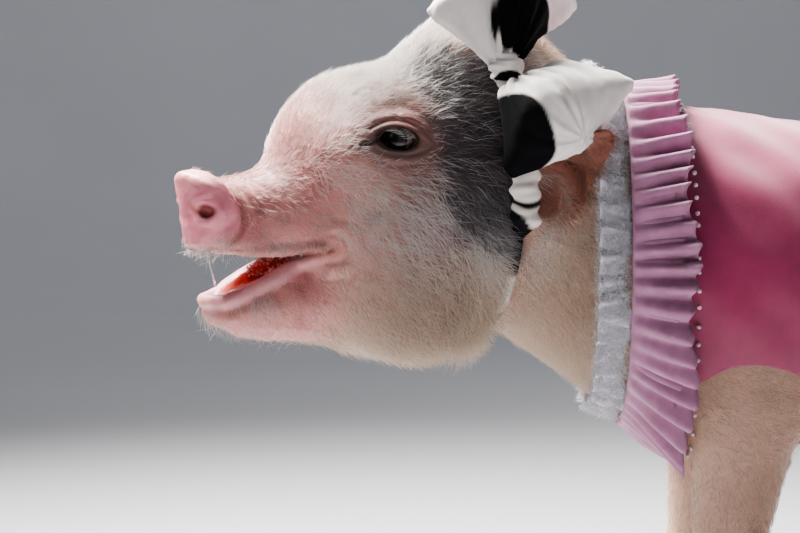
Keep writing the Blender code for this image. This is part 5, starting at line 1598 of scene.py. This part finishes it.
def make_saliva():
    """A thin thread of saliva from the nose's lower rim to the lip."""
    path = np.array([(83.0, 9.0, 249.0), (83.2, 8.6, 244.5), (82.4, 8.0, 239.5), (80.6, 7.2, 234.5),
                     (79.0, 6.6, 229.5)])
    radii = np.array([1.3, 0.45, 0.28, 0.36, 1.0])
    spots = np.linspace(0, 4, 60)
    line = np.column_stack([np.interp(spots, range(5), path[:, k]) for k in range(3)])
    for _ in range(14):
        line[1:-1] = (line[:-2] + line[2:]) / 2 * 0.6 + line[1:-1] * 0.4
    radii = np.interp(spots, range(5), radii) * (1 + 0.12 * np.sin(spots * 9))
    bm = bmesh.new()
    rings = []
    for spot, radius in zip(line, radii):
        rings.append([bm.verts.new(from_head(spot + radius * np.array([math.cos(a), math.sin(a), 0.0]))[0])
                      for a in np.linspace(0, 2 * math.pi, 10, endpoint=False)])
    bridge(bm, rings)
    bm.faces.new(rings[0])
    bm.faces.new(rings[-1])
    bmesh.ops.recalc_face_normals(bm, faces=bm.faces)
    mesh = mesh_from(bm, "saliva_thread")
    s = Shader("saliva", Roughness=0.04, Transmission_Weight=0.75, IOR=1.33)
    s.colour(s.mottled(srgb(244, 238, 240), s.noise(900, 2.0), 0.9))
    s.bump(s.noise(1200, 2.0), 0.15, 0.0002)
    mesh.materials.append(s.material)
    add_piece("saliva_thread", mesh)


# The hooves


def toe_mesh(name, x, left, inner):
    """Half of a cloven hoof: a pointed, slightly flared block of horn, flat on the floor."""
    levels = np.array([0.0, 0.0, 0.0006, 0.004, 0.010, 0.016, 0.0195, 0.0215, 0.0230, 0.0237])
    sizes = np.array([0.0, 0.93, 0.97, 0.99, 0.96, 0.91, 0.885, 0.88, 0.80, 0.0])
    turns = np.linspace(0, 2 * math.pi, 48, endpoint=False)
    points = []
    for z, size in zip(levels, sizes):
        c, s = np.cos(turns), np.sin(turns)
        point = np.where(c < 0, 1.0 - 0.30 * (-c) ** 3, 1.0)
        ridge = 1 + 0.010 * math.sin(z * 2600)
        lean = TOE_LEAN * z / TOE_TOP
        xs = x + lean + c * TOE_LENGTH / 2 * size * ridge
        flat = np.where(s * inner > 0, 0.86, 1.0)
        ys = BODY_Y - left + s * TOE_WIDTH / 2 * size * ridge * flat * point
        points.append(np.column_stack([xs, ys, np.full(len(turns), z)]))
    return wrapped_mesh(name, np.array(points), weld=1e-7)


def horn_material():
    s = Shader("horn", Roughness=0.42, Coat_Weight=0.15, Coat_Roughness=0.35)
    streak = s.mottled(srgb(104, 86, 72), s.noise(420, 5.0, (1.0, 1.0, 0.12)), 0.45)
    s.colour(s.mottled(streak, s.noise(90, 3.0), 0.6))
    s.bump(s.noise(500, 4.0, (0.3, 0.3, 2.5)), 0.5, 0.0006)
    return s.material


def make_hooves():
    horn = horn_material()
    for name, foot_x in (("front", FRONT_FOOT_X), ("hind", HIND_FOOT_X)):
        for side, word in SIDES:
            for out, place in ((1, "outer"), (-1, "inner")):
                left = side * (FOOT_OUT + out * (TOE_WIDTH + TOE_PART) / 2)
                mesh = toe_mesh(f"horn_{name}_{word}_{place}", foot_x - TOE_FORWARD, left, side * out)
                mesh.materials.append(horn)
                toe = add_piece(mesh.name, mesh)
                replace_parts(toe, f"hoof_{name}_{word}_{place}")
    claws = bmesh.new()
    for foot_x in (FRONT_FOOT_X, HIND_FOOT_X):
        for side, _ in SIDES:
            for out in (-1, 1):
                left = side * FOOT_OUT / MM + out * DEWCLAW_OUT
                ends = [from_body((foot_x / MM + back, left, z))[0] for back, z in DEWCLAW]
                part = rounded_horn(ends, (0.0055, 0.0028))
                claws.from_mesh(part)
                bpy.data.meshes.remove(part)
    mesh = mesh_from(claws, "dewclaws")
    mesh.materials.append(horn)
    add_piece("dewclaws", mesh)


def rounded_horn(ends, radii):
    """A short, blunt cone with ringed growth, from its root to its tip."""
    a, b = np.array(ends[0]), np.array(ends[1])
    axis = unit(b - a)
    side = unit(np.cross(axis, (0, 1, 0)))
    other = np.cross(axis, side)
    length = np.linalg.norm(b - a)
    bm = bmesh.new()
    rings = []
    for t in np.linspace(0, 1, 14):
        blunt = math.sqrt(max(1 - max(t - 0.75, 0) ** 2 * 16, 0.0))
        radius = (radii[0] + (radii[1] - radii[0]) * t) * blunt * (1 + 0.03 * math.sin(t * 24))
        radius = max(radius, 1e-5)
        ring = []
        for turn in np.linspace(0, 2 * math.pi, 20, endpoint=False):
            off = side * math.cos(turn) + other * math.sin(turn) * 0.8
            ring.append(bm.verts.new(a + axis * (t * length) + off * radius))
        rings.append(ring)
    bridge(bm, rings)
    bm.faces.new(rings[0][::-1])
    bm.faces.new(rings[-1])
    bmesh.ops.recalc_face_normals(bm, faces=bm.faces)
    return mesh_from(bm, "claw")


# The clothes


def cloth_grid(name, points, thickness, ring=True):
    """A dense sheet through a grid of points, rows by columns, made solid outwards."""
    rows, columns = points.shape[:2]
    index = np.arange(rows * columns).reshape(rows, columns)
    after = np.roll(index, -1, axis=1) if ring else index[:, 1:]
    here = index if ring else index[:, :-1]
    faces = np.stack([here[:-1], after[:-1], after[1:], here[1:]], axis=-1).reshape(-1, 4)
    mesh = bpy.data.meshes.new(name)
    mesh.from_pydata(points.reshape(-1, 3).tolist(), [], faces.tolist())
    obj = scratch(name, mesh)
    solid = obj.modifiers.new("thickness", "SOLIDIFY")
    solid.thickness = thickness
    solid.offset = 0.0
    apply_modifiers(obj)
    obj.data.shade_smooth()
    return obj


# Cut width and length in metres, how it is held, on what, and its area if not a strip
SHEETS = {
    "bodice_satin": ((0.170, 0.535), "stretched", "torso", 0.0778),
    "ruffle_outer": ((0.0295, 0.860), "gathered", "dress_bodice", None),
    "ruffle_inner": ((0.0238, 0.705), "gathered", "dress_bodice", None),
    "lace_frill": ((0.0150, 0.650), "gathered", "neck", None),
    "skirt_tier_1": ((0.0860, 0.635), "gathered", "dress_bodice", None),
    "skirt_tier_2": ((0.0765, 0.580), "gathered", "dress_bodice", None),
    "skirt_tier_3": ((0.0675, 0.516), "gathered", "dress_bodice", None),
}


def declared(obj, node=None):
    """Sets what a piece of cloth rides on and which part it replaces; its cut in SHEETS is looked up but not
    used.
    """
    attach(obj, "root")
    if node:
        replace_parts(obj, node)
    if obj.name in SHEETS:
        flat, held, below, area = SHEETS[obj.name]
    return obj


def dress_frill(name, row, rows, pleats, per_pleat, offset, depth, shift, seed, longer=0.0, knit=0.0):
    """A pleated strip round the trunk, along one of the CAD's frills."""
    starts, forward, offsets, rises, _, _, degrees = FRILLS[row]
    ring = degrees == 360
    span = math.radians(degrees)
    count = pleats * per_pleat + (0 if ring else 1)
    angles = np.linspace(-span / 2, span / 2, count, endpoint=not ring)
    turn = angles * pleats * 2 * math.pi / span
    wander = 0.6 * np.sin(angles * 5 + seed) + 0.5 * np.sin(angles * 11 + 2 * seed)
    ripple = turn + wander + shift
    uneven = 1 + 0.25 * np.sin(angles * 7 + seed * 3) + 0.15 * np.sin(angles * 17 + seed)
    flat_back = 0 if ring else SKIRT_REST * np.cos(angles / 2) ** 8
    grid = []
    for t in np.linspace(0, 1, rows):
        x = np.interp(t, np.linspace(0, 1, 3), forward) + longer * t
        off = np.interp(t, np.linspace(0, 1, 3), offsets) + offset * (0.3 + t)
        wave = np.interp(t, np.linspace(0, 1, 3), rises) * depth
        flare = off * (1 - flat_back * np.clip((off - SKIRT_FLARES) / 8, 0, 1))
        lip = 0.7 * np.sin(turn * 2 + seed) * t**3
        spots = np.column_stack([angles * 60, angles * 0 + t * 9, angles * 31])
        lumps = knit * (waves(spots, 1.7, seed) - 0.3)
        radial = flare + uneven * wave * np.sin(ripple) + lip + lumps
        edge = starts + x + 0.0022 * t * np.sin(angles * 9 + seed) + 0.0010 * t * np.cos(ripple)
        grid.append(around_trunk_uneven(edge, angles, radial))
    return cloth_grid(name, np.array(grid), 0.0006, ring=ring)


def around_trunk_uneven(x, angles, offset):
    """Like around_trunk, with an X of its own for each angle."""
    low, high = float(np.min(x)), float(np.max(x))
    a, b = around_trunk(low, angles, offset), around_trunk(high, angles, offset)
    t = ((x - low) / max(high - low, 1e-9))[:, None]
    return a + (b - a) * t


def make_bodice_cloth(satin):
    """The satin body of the dress, with soft wrinkles and a hole for each foreleg."""
    xs = np.linspace(COLLAR_X, WAIST_X, 52)
    angles = np.linspace(0, 2 * math.pi, 220, endpoint=False)
    grid = []
    for x in xs:
        gather = ramp(COLLAR_X + 0.035 - x, 0, 0.035) + ramp(x - WAIST_X + 0.02, 0, 0.02)
        fold = 0.55 * gather * np.sin(angles * 46 + 1.5 * np.sin(angles * 9))
        slack = 0.55 * np.sin(angles * 7 + x * 90) * np.sin(x * 70 + 2 * np.sin(angles * 3))
        slack = slack + 0.4 * np.sin(angles * 13 - x * 160)
        grid.append(around_trunk(x, angles, BODICE_OFF + 0.8 + fold + slack))
    bodice = cloth_grid("bodice_satin", np.array(grid), 0.0008)
    for side in (1, -1):
        place, size = ARM_HOLE
        hole = hull(ellipsoid_points(np.array(place) * (1, side, 1), size, from_body, detail=4))
        combine(bodice, [scratch("arm_hole", mesh_from(hole, "arm_hole"))], "DIFFERENCE")
    painted(bodice, satin)
    return declared(bodice, "dress_bodice")


# The skirt's tiers, outermost first: offset in millimetres, how much longer, and how many pleats
SKIRT_TIERS = ((0.0, 0.004, 40), (-5.0, -0.006, 36), (-10.0, -0.016, 32))


def make_dress(rng):
    satin = cloth_material("magenta_satin", srgb(150, 30, 80), 0.36, 2600, (1.0, 0.25, 1.0), 0.5, 0.8)
    tulle = cloth_material("pink_tulle", srgb(166, 108, 142), 0.75, 2200, None, 0.25, 0.7)
    lace = cloth_material("white_lace", srgb(210, 206, 218), 0.85, 900, None, 0.2, 0.6)
    make_bodice_cloth(satin)
    rough = 1.0
    pleats, fine = 54, int(12 * rough)
    outer = dress_frill("ruffle_outer", "dress_collar_ruffle", 16, pleats, fine, 0.8, 1.5, 0.0, 1.0, 0.002)
    inner = dress_frill("ruffle_inner", "dress_collar_ruffle", 14, pleats - 8, fine, -3.5, 1.2, 1.0, 2.0,
                        -0.004)
    for obj in (outer, inner):
        obj.data.materials.append(tulle)
    declared(outer, "dress_collar_ruffle")
    declared(inner)
    front = dress_frill("lace_frill", "dress_lace", 14, 40, int(1.5 * fine), 0.6, 2.2, 0.0, 3.0, knit=1.6)
    front.data.materials.append(lace)
    declared(front, "dress_lace")
    for number, (offset, longer, pleat) in enumerate(SKIRT_TIERS):
        tier = dress_frill(f"skirt_tier_{number + 1}", "dress_skirt", 16, pleat, fine, offset, 1.1,
                           number * 1.3, 4.0 + number, longer)
        tier.data.materials.append(tulle)
        declared(tier, "dress_skirt" if number == 0 else None)
    make_fluff(rng)
    make_pearls(rng)


def make_fluff(rng):
    """The lace's loose, downy fibres, standing out all round the collar."""
    n = 12000
    angles = rng.uniform(0, 2 * math.pi, n)
    x = COLLAR_X + rng.uniform(-0.017, -0.001, n)
    offset = np.interp(x - COLLAR_X, (-0.016, -0.009, -0.002), (6.8, 4.6, 2.6)) + 1.6 * rng.random(n)
    order = np.argsort(x)
    angles, x, offset = angles[order], x[order], offset[order]
    roots, out = np.empty((n, 3)), np.empty((n, 3))
    for part in np.array_split(np.arange(n), 12):
        mid = float(x[part].mean())
        near = around_trunk(mid, angles[part], offset[part])
        far = around_trunk(mid, angles[part], offset[part] + 5)
        roots[part] = near
        out[part] = unit_rows(far - near)
    roots[:, 0] += rng.uniform(-0.001, 0.001, n)
    lie = np.column_stack([rng.normal(-0.3, 0.8, n), rng.normal(0, 0.8, n), rng.normal(0, 0.8, n)])
    lie = laid_down(lie, out)
    tint = evenly(srgb(232, 230, 236), n) * rng.uniform(0.75, 1.0, n)[:, None]
    s = Shader("lace_fibre", Roughness=0.7, Sheen_Weight=0.4)
    s.colour(s.mottled(s.attribute("tint"), s.noise(300, 2.0), 0.85))
    s.bump(s.noise(3000, 2.0), 0.2, 0.0002)
    piece = strands("lace_fluff", roots, out, lie, rng.uniform(2.5, 6, n) * MM, np.full(n, 0.00030),
                    rng.uniform(0.3, 1.4, n), tint, tint, coat_map(roots), rng, s.material, curl=0.6, rings=2)


PEARLS_X = COLLAR_X + 0.031
PEARL_RADIUS = 0.0012


def make_pearls(rng):
    """Tiny round beads sewn round the satin, behind the ruffle."""
    beads = bmesh.new()
    n = 64
    angles = np.linspace(0, 2 * math.pi, n, endpoint=False) + rng.uniform(-0.02, 0.02, n)
    for spot in around_trunk(PEARLS_X, angles, np.full(n, BODICE_OFF + 2.2)):
        made = bmesh.ops.create_icosphere(beads, subdivisions=2, radius=PEARL_RADIUS)
        bmesh.ops.translate(beads, verts=made["verts"], vec=spot)
    mesh = mesh_from(beads, "bodice_pearls")
    s = Shader("pearl", Roughness=0.15, Coat_Weight=0.8, Coat_Roughness=0.05, Sheen_Weight=0.2)
    s.colour(s.mottled(srgb(230, 196, 208), s.noise(1500, 2.0), 0.8))
    s.bump(s.noise(2500, 2.0), 0.1, 0.0002)
    mesh.materials.append(s.material)
    add_piece("bodice_pearls", mesh)


# The headband and its bow


def bow_tint(p, blacks, seed):
    """White cloth with soft-edged black patches, in head millimetres."""
    q = p + 1.8 * wobble(p, (11.0, seed), (10.0, seed + 2), (12.0, seed + 4))
    dark = np.zeros(len(p))
    for centre, radius in blacks:
        far = np.linalg.norm((q - centre) / radius, axis=1)
        dark = np.maximum(dark, 1 - ramp(far, 0.96, 1.04))
    return blend(evenly(srgb(232, 225, 220), len(p)), srgb(6, 6, 8), dark)


# The print's black patches: each one's centre and radii, in head millimetres
LOBE_BLACKS = {
    "bow_lobe_near": (((-51, 70, 301), (17, 24, 22)), ((-84, 56, 340), (13, 12, 7)),
                      ((-84, 84, 292), (5, 9, 4))),
    "bow_lobe_far": (((-65, 40, 358), (20, 30, 21)), ((-61, 44, 346), (9, 14, 10)),
                     ((-40, 10, 372), (8, 12, 7)), ((-84, 14, 386), (8, 12, 9))),
}


def make_lobe(name, material):
    """A stuffed loop of the bow: blown up as cloth, then gathered in towards the knot."""
    corners, middle, radii = LOBES[name]
    balls = [ellipsoid_points(corner, (LOBE_CORNER,) * 3, from_head) for corner in corners]
    balls.append(ellipsoid_points(middle, radii, from_head))
    obj = scratch(name + "_cloth", mesh_from(hull(np.concatenate(balls)), name))
    remeshed(obj, 0.004)
    obj = blown(obj)
    change = obj.modifiers.new("finer", "SUBSURF")
    change.levels = 2
    apply_modifiers(obj)
    p = to_head(vertices(obj))
    normal = vertex_normals(obj)
    knot = np.array(KNOT[0], float)
    out = p - knot
    far = np.linalg.norm(out, axis=1)
    axis = unit(np.array(middle, float) - knot)
    first = unit(np.cross(axis, (0.3, 1, 0.2)))
    second = np.cross(axis, first)
    around = np.arctan2(out @ first, out @ second)
    crease = np.sin(around * 11 + 1.2 * np.sin(around * 3 + far / 18)) + 0.5 * np.sin(around * 19 + far / 11)
    depth = 1.5 * np.exp(-far / 22) * crease + 0.55 * np.exp(-far / 60) * crease
    depth += 0.5 * waves(p, 9.0, 1.0) + 0.25 * waves(p, 4.0, 5.0)
    place_vertices(obj, vertices(obj) + normal * (depth * MM)[:, None])
    set_colour(obj.data, bow_tint(to_head(vertices(obj)), LOBE_BLACKS[name], 1.0))
    painted(obj, material)
    declared(obj, name)
    return obj


BLOWN_FRAMES = 20
BLOWN_MOST = 0.004     # how far the cloth may move any point


def blown(obj):
    """Inflates a closed mesh as cloth for a moment, and keeps each point near where it was."""
    before = vertices(obj)
    cloth = obj.modifiers.new("cloth", "CLOTH")
    cloth.settings.quality = 6
    cloth.settings.use_pressure = True
    cloth.settings.uniform_pressure_force = 4.0
    cloth.settings.effector_weights.gravity = 0
    cloth.settings.tension_stiffness = 12
    cloth.settings.shrink_min = -0.06
    cloth.point_cache.frame_start = 1
    cloth.point_cache.frame_end = BLOWN_FRAMES
    for frame_number in range(1, BLOWN_FRAMES + 1):
        bpy.context.scene.frame_set(frame_number)
    graph = bpy.context.evaluated_depsgraph_get()
    blown_mesh = obj.evaluated_get(graph).to_mesh()
    after = np.array([v.co[:] for v in blown_mesh.vertices])
    obj.evaluated_get(graph).to_mesh_clear()
    obj.modifiers.remove(cloth)
    bpy.context.scene.frame_set(1)
    move = after - before
    size = np.maximum(np.linalg.norm(move, axis=1), 1e-9)[:, None]
    place_vertices(obj, before + move * np.minimum(1, BLOWN_MOST / size))
    return obj


def make_knot(material):
    bm, q = sphere(5)
    centre, size = np.array(KNOT[0], float), np.array(KNOT[1], float) - 1.0
    fold = 0.10 * np.sin(q[:, 2] * 9 + 1.5 * q[:, 0]) * (1 - q[:, 2] ** 2)
    fold += 0.05 * np.sin(q[:, 2] * 19 + 3 * q[:, 1])
    p = centre + q * size * (1 + fold)[:, None]
    for vert, spot in zip(bm.verts, from_head(p)):
        vert.co = spot
    mesh = mesh_from(bm, "bow_knot_cloth")
    set_colour(mesh, bow_tint(p, (((-52, 62, 326), (12, 12, 8)),), 3.0))
    mesh.materials.append(material)
    knot = add_piece("bow_knot_cloth", mesh)
    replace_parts(knot, "bow_knot")


ELASTIC_FROM = math.radians(114)
# Where the band's black patches start and end, in degrees round the head
BAND_BLACKS = ((20, 33), (62, 74), (98, 101.5), (106, 131), (150, 171), (197, 214), (240, 259), (284, 300),
               (322, 341))


def band_slack(angles):
    """1 where the band is scrunched cloth, 0 where it is the thin elastic under the jaw."""
    wrapped = (angles + math.pi) % (2 * math.pi) - math.pi
    return ramp(ELASTIC_FROM - abs(wrapped), -0.06, 0.10)


def band_rays(u, angles):
    """Rays out of the band's axis, by angle from the top: their starts, and a millimetre along each."""
    start = from_head([(u, 0, BAND_AXIS_Z)] * len(angles))
    return start, from_head([(u, math.sin(a), BAND_AXIS_Z + math.cos(a)) for a in angles]) - start


def make_headband(material):
    """A scrunched tube of cloth round the head, creased across."""
    angles = np.linspace(0, 2 * math.pi, 720, endpoint=False)
    turns = np.linspace(0, 2 * math.pi, 20, endpoint=False)
    slack = band_slack(angles)
    lines = []
    for u in (BAND_U - BAND_WIDTH / 2, BAND_U, BAND_U + BAND_WIDTH / 2):
        start, out = band_rays(u, angles)
        out = out / MM
        far = reach(plain_flesh, start, out, 0.0)
        lines.append(start + out * (far + (-1.4 + (BAND_OFF + 3.4) * slack) * MM)[:, None])
    out = unit_rows(band_rays(BAND_U, angles)[1])
    across = lines[2] - lines[0]
    grid = []
    for turn in turns:
        fold = np.sin(angles * 38 + 1.6 * np.sin(angles * 5) + 0.8 * math.cos(turn))
        crease = 1 + slack * (0.30 * fold + 0.15 * np.sin(angles * 83 + 2 + turn))
        edge = 1 + slack * (0.12 * np.sin(angles * 38 + np.sign(math.cos(turn))) + 0.07 * np.sin(angles * 61))
        wide = (0.17 + 0.30 * slack) * math.cos(turn) * edge
        high = (0.0007 + 0.0025 * slack) * math.sin(turn) * crease
        grid.append(lines[1] + across * wide[:, None] + out * high[:, None])
    grid = np.array(grid)
    mesh = wrapped_mesh("headband_cloth", grid, closed=True)
    p = to_head(grid.reshape(-1, 3))
    around = np.tile(np.degrees(angles), len(grid))
    wave = around + 5 * waves(p, 6.0, 2.0)
    dark = np.zeros(len(p))
    for start, end in BAND_BLACKS:
        dark = np.maximum(dark, ramp(wave, start - 1, start + 1) * ramp(-wave, -end - 1, -end + 1))
    set_colour(mesh, blend(evenly(srgb(228, 218, 210), len(p)), srgb(12, 11, 13), dark))
    mesh.materials.append(material)
    band = add_piece("headband_cloth", mesh)
    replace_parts(band, "headband")


def make_bow():
    weave = cloth_material("printed_cloth", None, 0.9, 2400, None, 0.0, 0.88, 0.04)
    make_headband(weave)
    make_knot(weave)
    for name in LOBES:
        make_lobe(name, weave)


# Whiskers and odd hairs

BROW_TUFT = np.array([2, 38, 318])


def face_hairs(skin, rng, material):
    """Longer single hairs: under the nose disc, along the chin and over the eyes."""
    p_all = vertices(skin)
    head = to_head(p_all)
    normal = vertex_normals(skin)
    side = both_sides(head)
    u, out, z = side.T
    nose = nose_frame(head)
    ahead, above = nose[:, 0], nose[:, 2]
    under_nose = (ahead > -12) & (ahead < 2) & (above < -13) & (u > 62) & (z > 236)
    chin = (u > 28) & (z < 216) & (u < 84)
    lip = (u > 44) & (abs(z - (lip_height(u, LOWER_LIP) - 6)) < 3) & (out > 6)
    tuft = (abs(u - 61) < 5.5) & (abs(z - 223) < 3.2) & (out > 9)
    over = (u > 34) & (u < 60) & (abs(z - (lip_height(u, UPPER_LIP) + 4.5)) < 2) & (out > 12)
    brow = np.linalg.norm(side - BROW_TUFT, axis=1) < 12
    rim = (ahead > -3) & (ahead < 5) & (above < -8) & (above > -20) & (u > 66)
    # Where, how many, how long, and which way in the head's frame
    rows = (
        (rim, 300, 5, (0.6, 0, -0.8)),
        (under_nose, 110, 12, (0.5, 0, -1.2)),
        (chin, 110, 11, (0.3, 0, -1.0)),
        (lip, 60, 12, (0.3, 0, -1.3)),
        (tuft, 150, 9, (-0.1, 0, -1.3)),
        (over, 170, 7, (-0.2, 0, -1.3)),
        (brow, 36, 17, (0.2, 0, 0.4)),
    )
    roots, outs, lies, lengths = [], [], [], []
    for where, count, length, heading in rows:
        found = np.flatnonzero(where)
        if not len(found):
            continue
        pick = rng.choice(found, min(count, len(found)), replace=False)
        roots.append(p_all[pick])
        outs.append(normal[pick])
        lies.append(unit_rows(from_head(head[pick] + np.array(heading, float)) - p_all[pick]))
        lengths.append(length * rng.uniform(0.55, 1.2, len(pick)) * MM)
    roots, outs, lies = np.concatenate(roots), np.concatenate(outs), np.concatenate(lies)
    lengths = np.concatenate(lengths)
    lies = laid_down(unit_rows(lies + rng.normal(0, 0.25, lies.shape)), outs)
    n = len(roots)
    white = evenly(srgb(238, 232, 226), n) * rng.uniform(0.8, 1.0, n)[:, None]
    strands("whiskers", roots, outs, lies, lengths, np.full(n, 0.00018), rng.uniform(0.35, 0.8, n),
            white * 0.85, white, coat_map(roots), rng, material, curl=0.2)


def tail_hairs(rng, material):
    """The tuft at the end of the tail."""
    line, _ = tail_line()
    n = 900
    t = rng.uniform(0.45, 1.0, n) ** 0.8 * (len(line) - 1)
    low = np.minimum(t.astype(int), len(line) - 2)
    spot = line[low] + (line[low + 1] - line[low]) * (t - low)[:, None]
    out = rng.normal(0, 1, (n, 3))
    out[:, 2] *= 0.4
    out = unit_rows(out)
    lie = np.tile([0.35, 0.0, -1.0], (n, 1)) + rng.normal(0, 0.2, (n, 3))
    lie = laid_down(lie, out)
    tint = evenly(CREAM_HAIR, n) * rng.uniform(0.6, 1.0, n)[:, None]
    roots = spot + out * 0.0022
    strands("coat_tail", roots, out, lie, rng.uniform(9, 24, n) * MM, np.full(n, 0.00026),
            rng.uniform(0.1, 0.5, n), tint, tint, coat_map(roots), rng, material)


# The whole model, the stage and the camera


def make_stage():
    """A round floor that curves up to a wall, and a dim world."""
    bm = bmesh.new()
    turns = np.linspace(0, 2 * math.pi, 96, endpoint=False)
    profile = [(1.0, 0.0), (2.0, 0.0), (3.0, 0.0)]
    profile += [(3.0 + 1.6 * math.sin(a), 1.6 - 1.6 * math.cos(a)) for a in np.linspace(0.1, math.pi / 2, 16)]
    profile.append((4.6, 4.0))
    rings = [[bm.verts.new((far * math.cos(t), far * math.sin(t), z)) for t in turns] for far, z in profile]
    bm.faces.new(rings[0])
    for near, far in zip(rings, rings[1:]):
        for k in range(len(turns)):
            d = (k + 1) % len(turns)
            bm.faces.new((near[k], far[k], far[d], near[d]))
    for face in bm.faces:
        face.smooth = True
    floor = scratch("floor", mesh_from(bm, "floor"))
    s = Shader("studio_floor", Roughness=0.85)
    s.colour(s.mottled(srgb(164, 164, 168), s.noise(2.5, 3.0), 0.96))
    floor.data.materials.append(s.material)
    world = bpy.data.worlds.new("studio")
    world.use_nodes = True
    back = world.node_tree.nodes["Background"]
    back.inputs["Color"].default_value = (0.86, 0.90, 1.0, 1)
    back.inputs["Strength"].default_value = 0.14
    bpy.context.scene.world = world


def add_light(name, place, target, size, power, colour, mirrored, spread):
    data = bpy.data.lights.new(name, "AREA")
    data.spread = math.radians(spread)
    data.size = size
    data.energy = power
    data.color = colour
    lamp = bpy.data.objects.new(name, data)
    lamp.location = place
    lamp.visible_glossy = mirrored
    lamp.visible_camera = False
    lamp.rotation_euler = (Vector(target) - Vector(place)).to_track_quat("-Z", "Y").to_euler()
    bpy.context.scene.collection.objects.link(lamp)


# Name, place, target, size, power, colour, seen in reflections, spread in degrees
LAMPS = (
    ("key", (-0.8, 0.50, 1.5), (-0.15, 0, 0.28), 0.8, 72, (1.0, 0.97, 0.93), True, 70),
    ("window", (-0.95, -1.0, 1.0), (-0.2, 0, 0.28), 0.45, 1.5, (0.85, 0.92, 1.0), True, 180),
    ("backdrop", (-0.2, 2.4, 3.2), (-0.2, 4.6, 0.8), 2.0, 70, (0.94, 0.97, 1.0), False, 180),
    ("rim", (0.9, 0.9, 1.1), (0.1, 0, 0.25), 0.9, 30, (1.0, 0.98, 0.95), True, 180),
)


def make_lights():
    for lamp in LAMPS:
        add_light(*lamp)


CAMERA_AT = (-0.180, -0.990, 0.2845)
CAMERA_DOWN = math.radians(2.86)


def make_camera():
    data = bpy.data.cameras.new("camera")
    data.lens = 85
    data.sensor_width = 36
    camera = bpy.data.objects.new("camera", data)
    camera.location = CAMERA_AT
    camera.rotation_euler = (math.pi / 2 - CAMERA_DOWN, 0, 0)
    bpy.context.scene.collection.objects.link(camera)
    bpy.context.scene.camera = camera


def main():
    make_camera()
    make_stage()
    make_lights()
    skin = make_skin()
    world = vertices(skin)
    set_colour(skin.data, skin_tint(world))
    set_value(skin.data, wetness(world), "wet")
    painted(skin, skin_material())
    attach(skin, "root")
    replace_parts(skin, "head", "snout", "lower_jaw", "neck", "torso", "foreleg_left", "foreleg_right",
                "hind_leg_left", "hind_leg_right", "tail", "ear_left", "ear_right")
    eyes = eye_material()
    for side, word in SIDES:
        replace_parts(make_eye(side, f"eyeball_{word}", eyes), f"eye_{word}")
    hair = make_coat(skin)
    rng = np.random.default_rng(5)
    make_lashes(rng, hair)
    face_hairs(skin, rng, hair)
    tail_hairs(rng, hair)
    make_tongue()
    make_papillae(skin, rng)
    make_saliva()
    make_hooves()
    make_bow()
    make_dress(rng)


main()
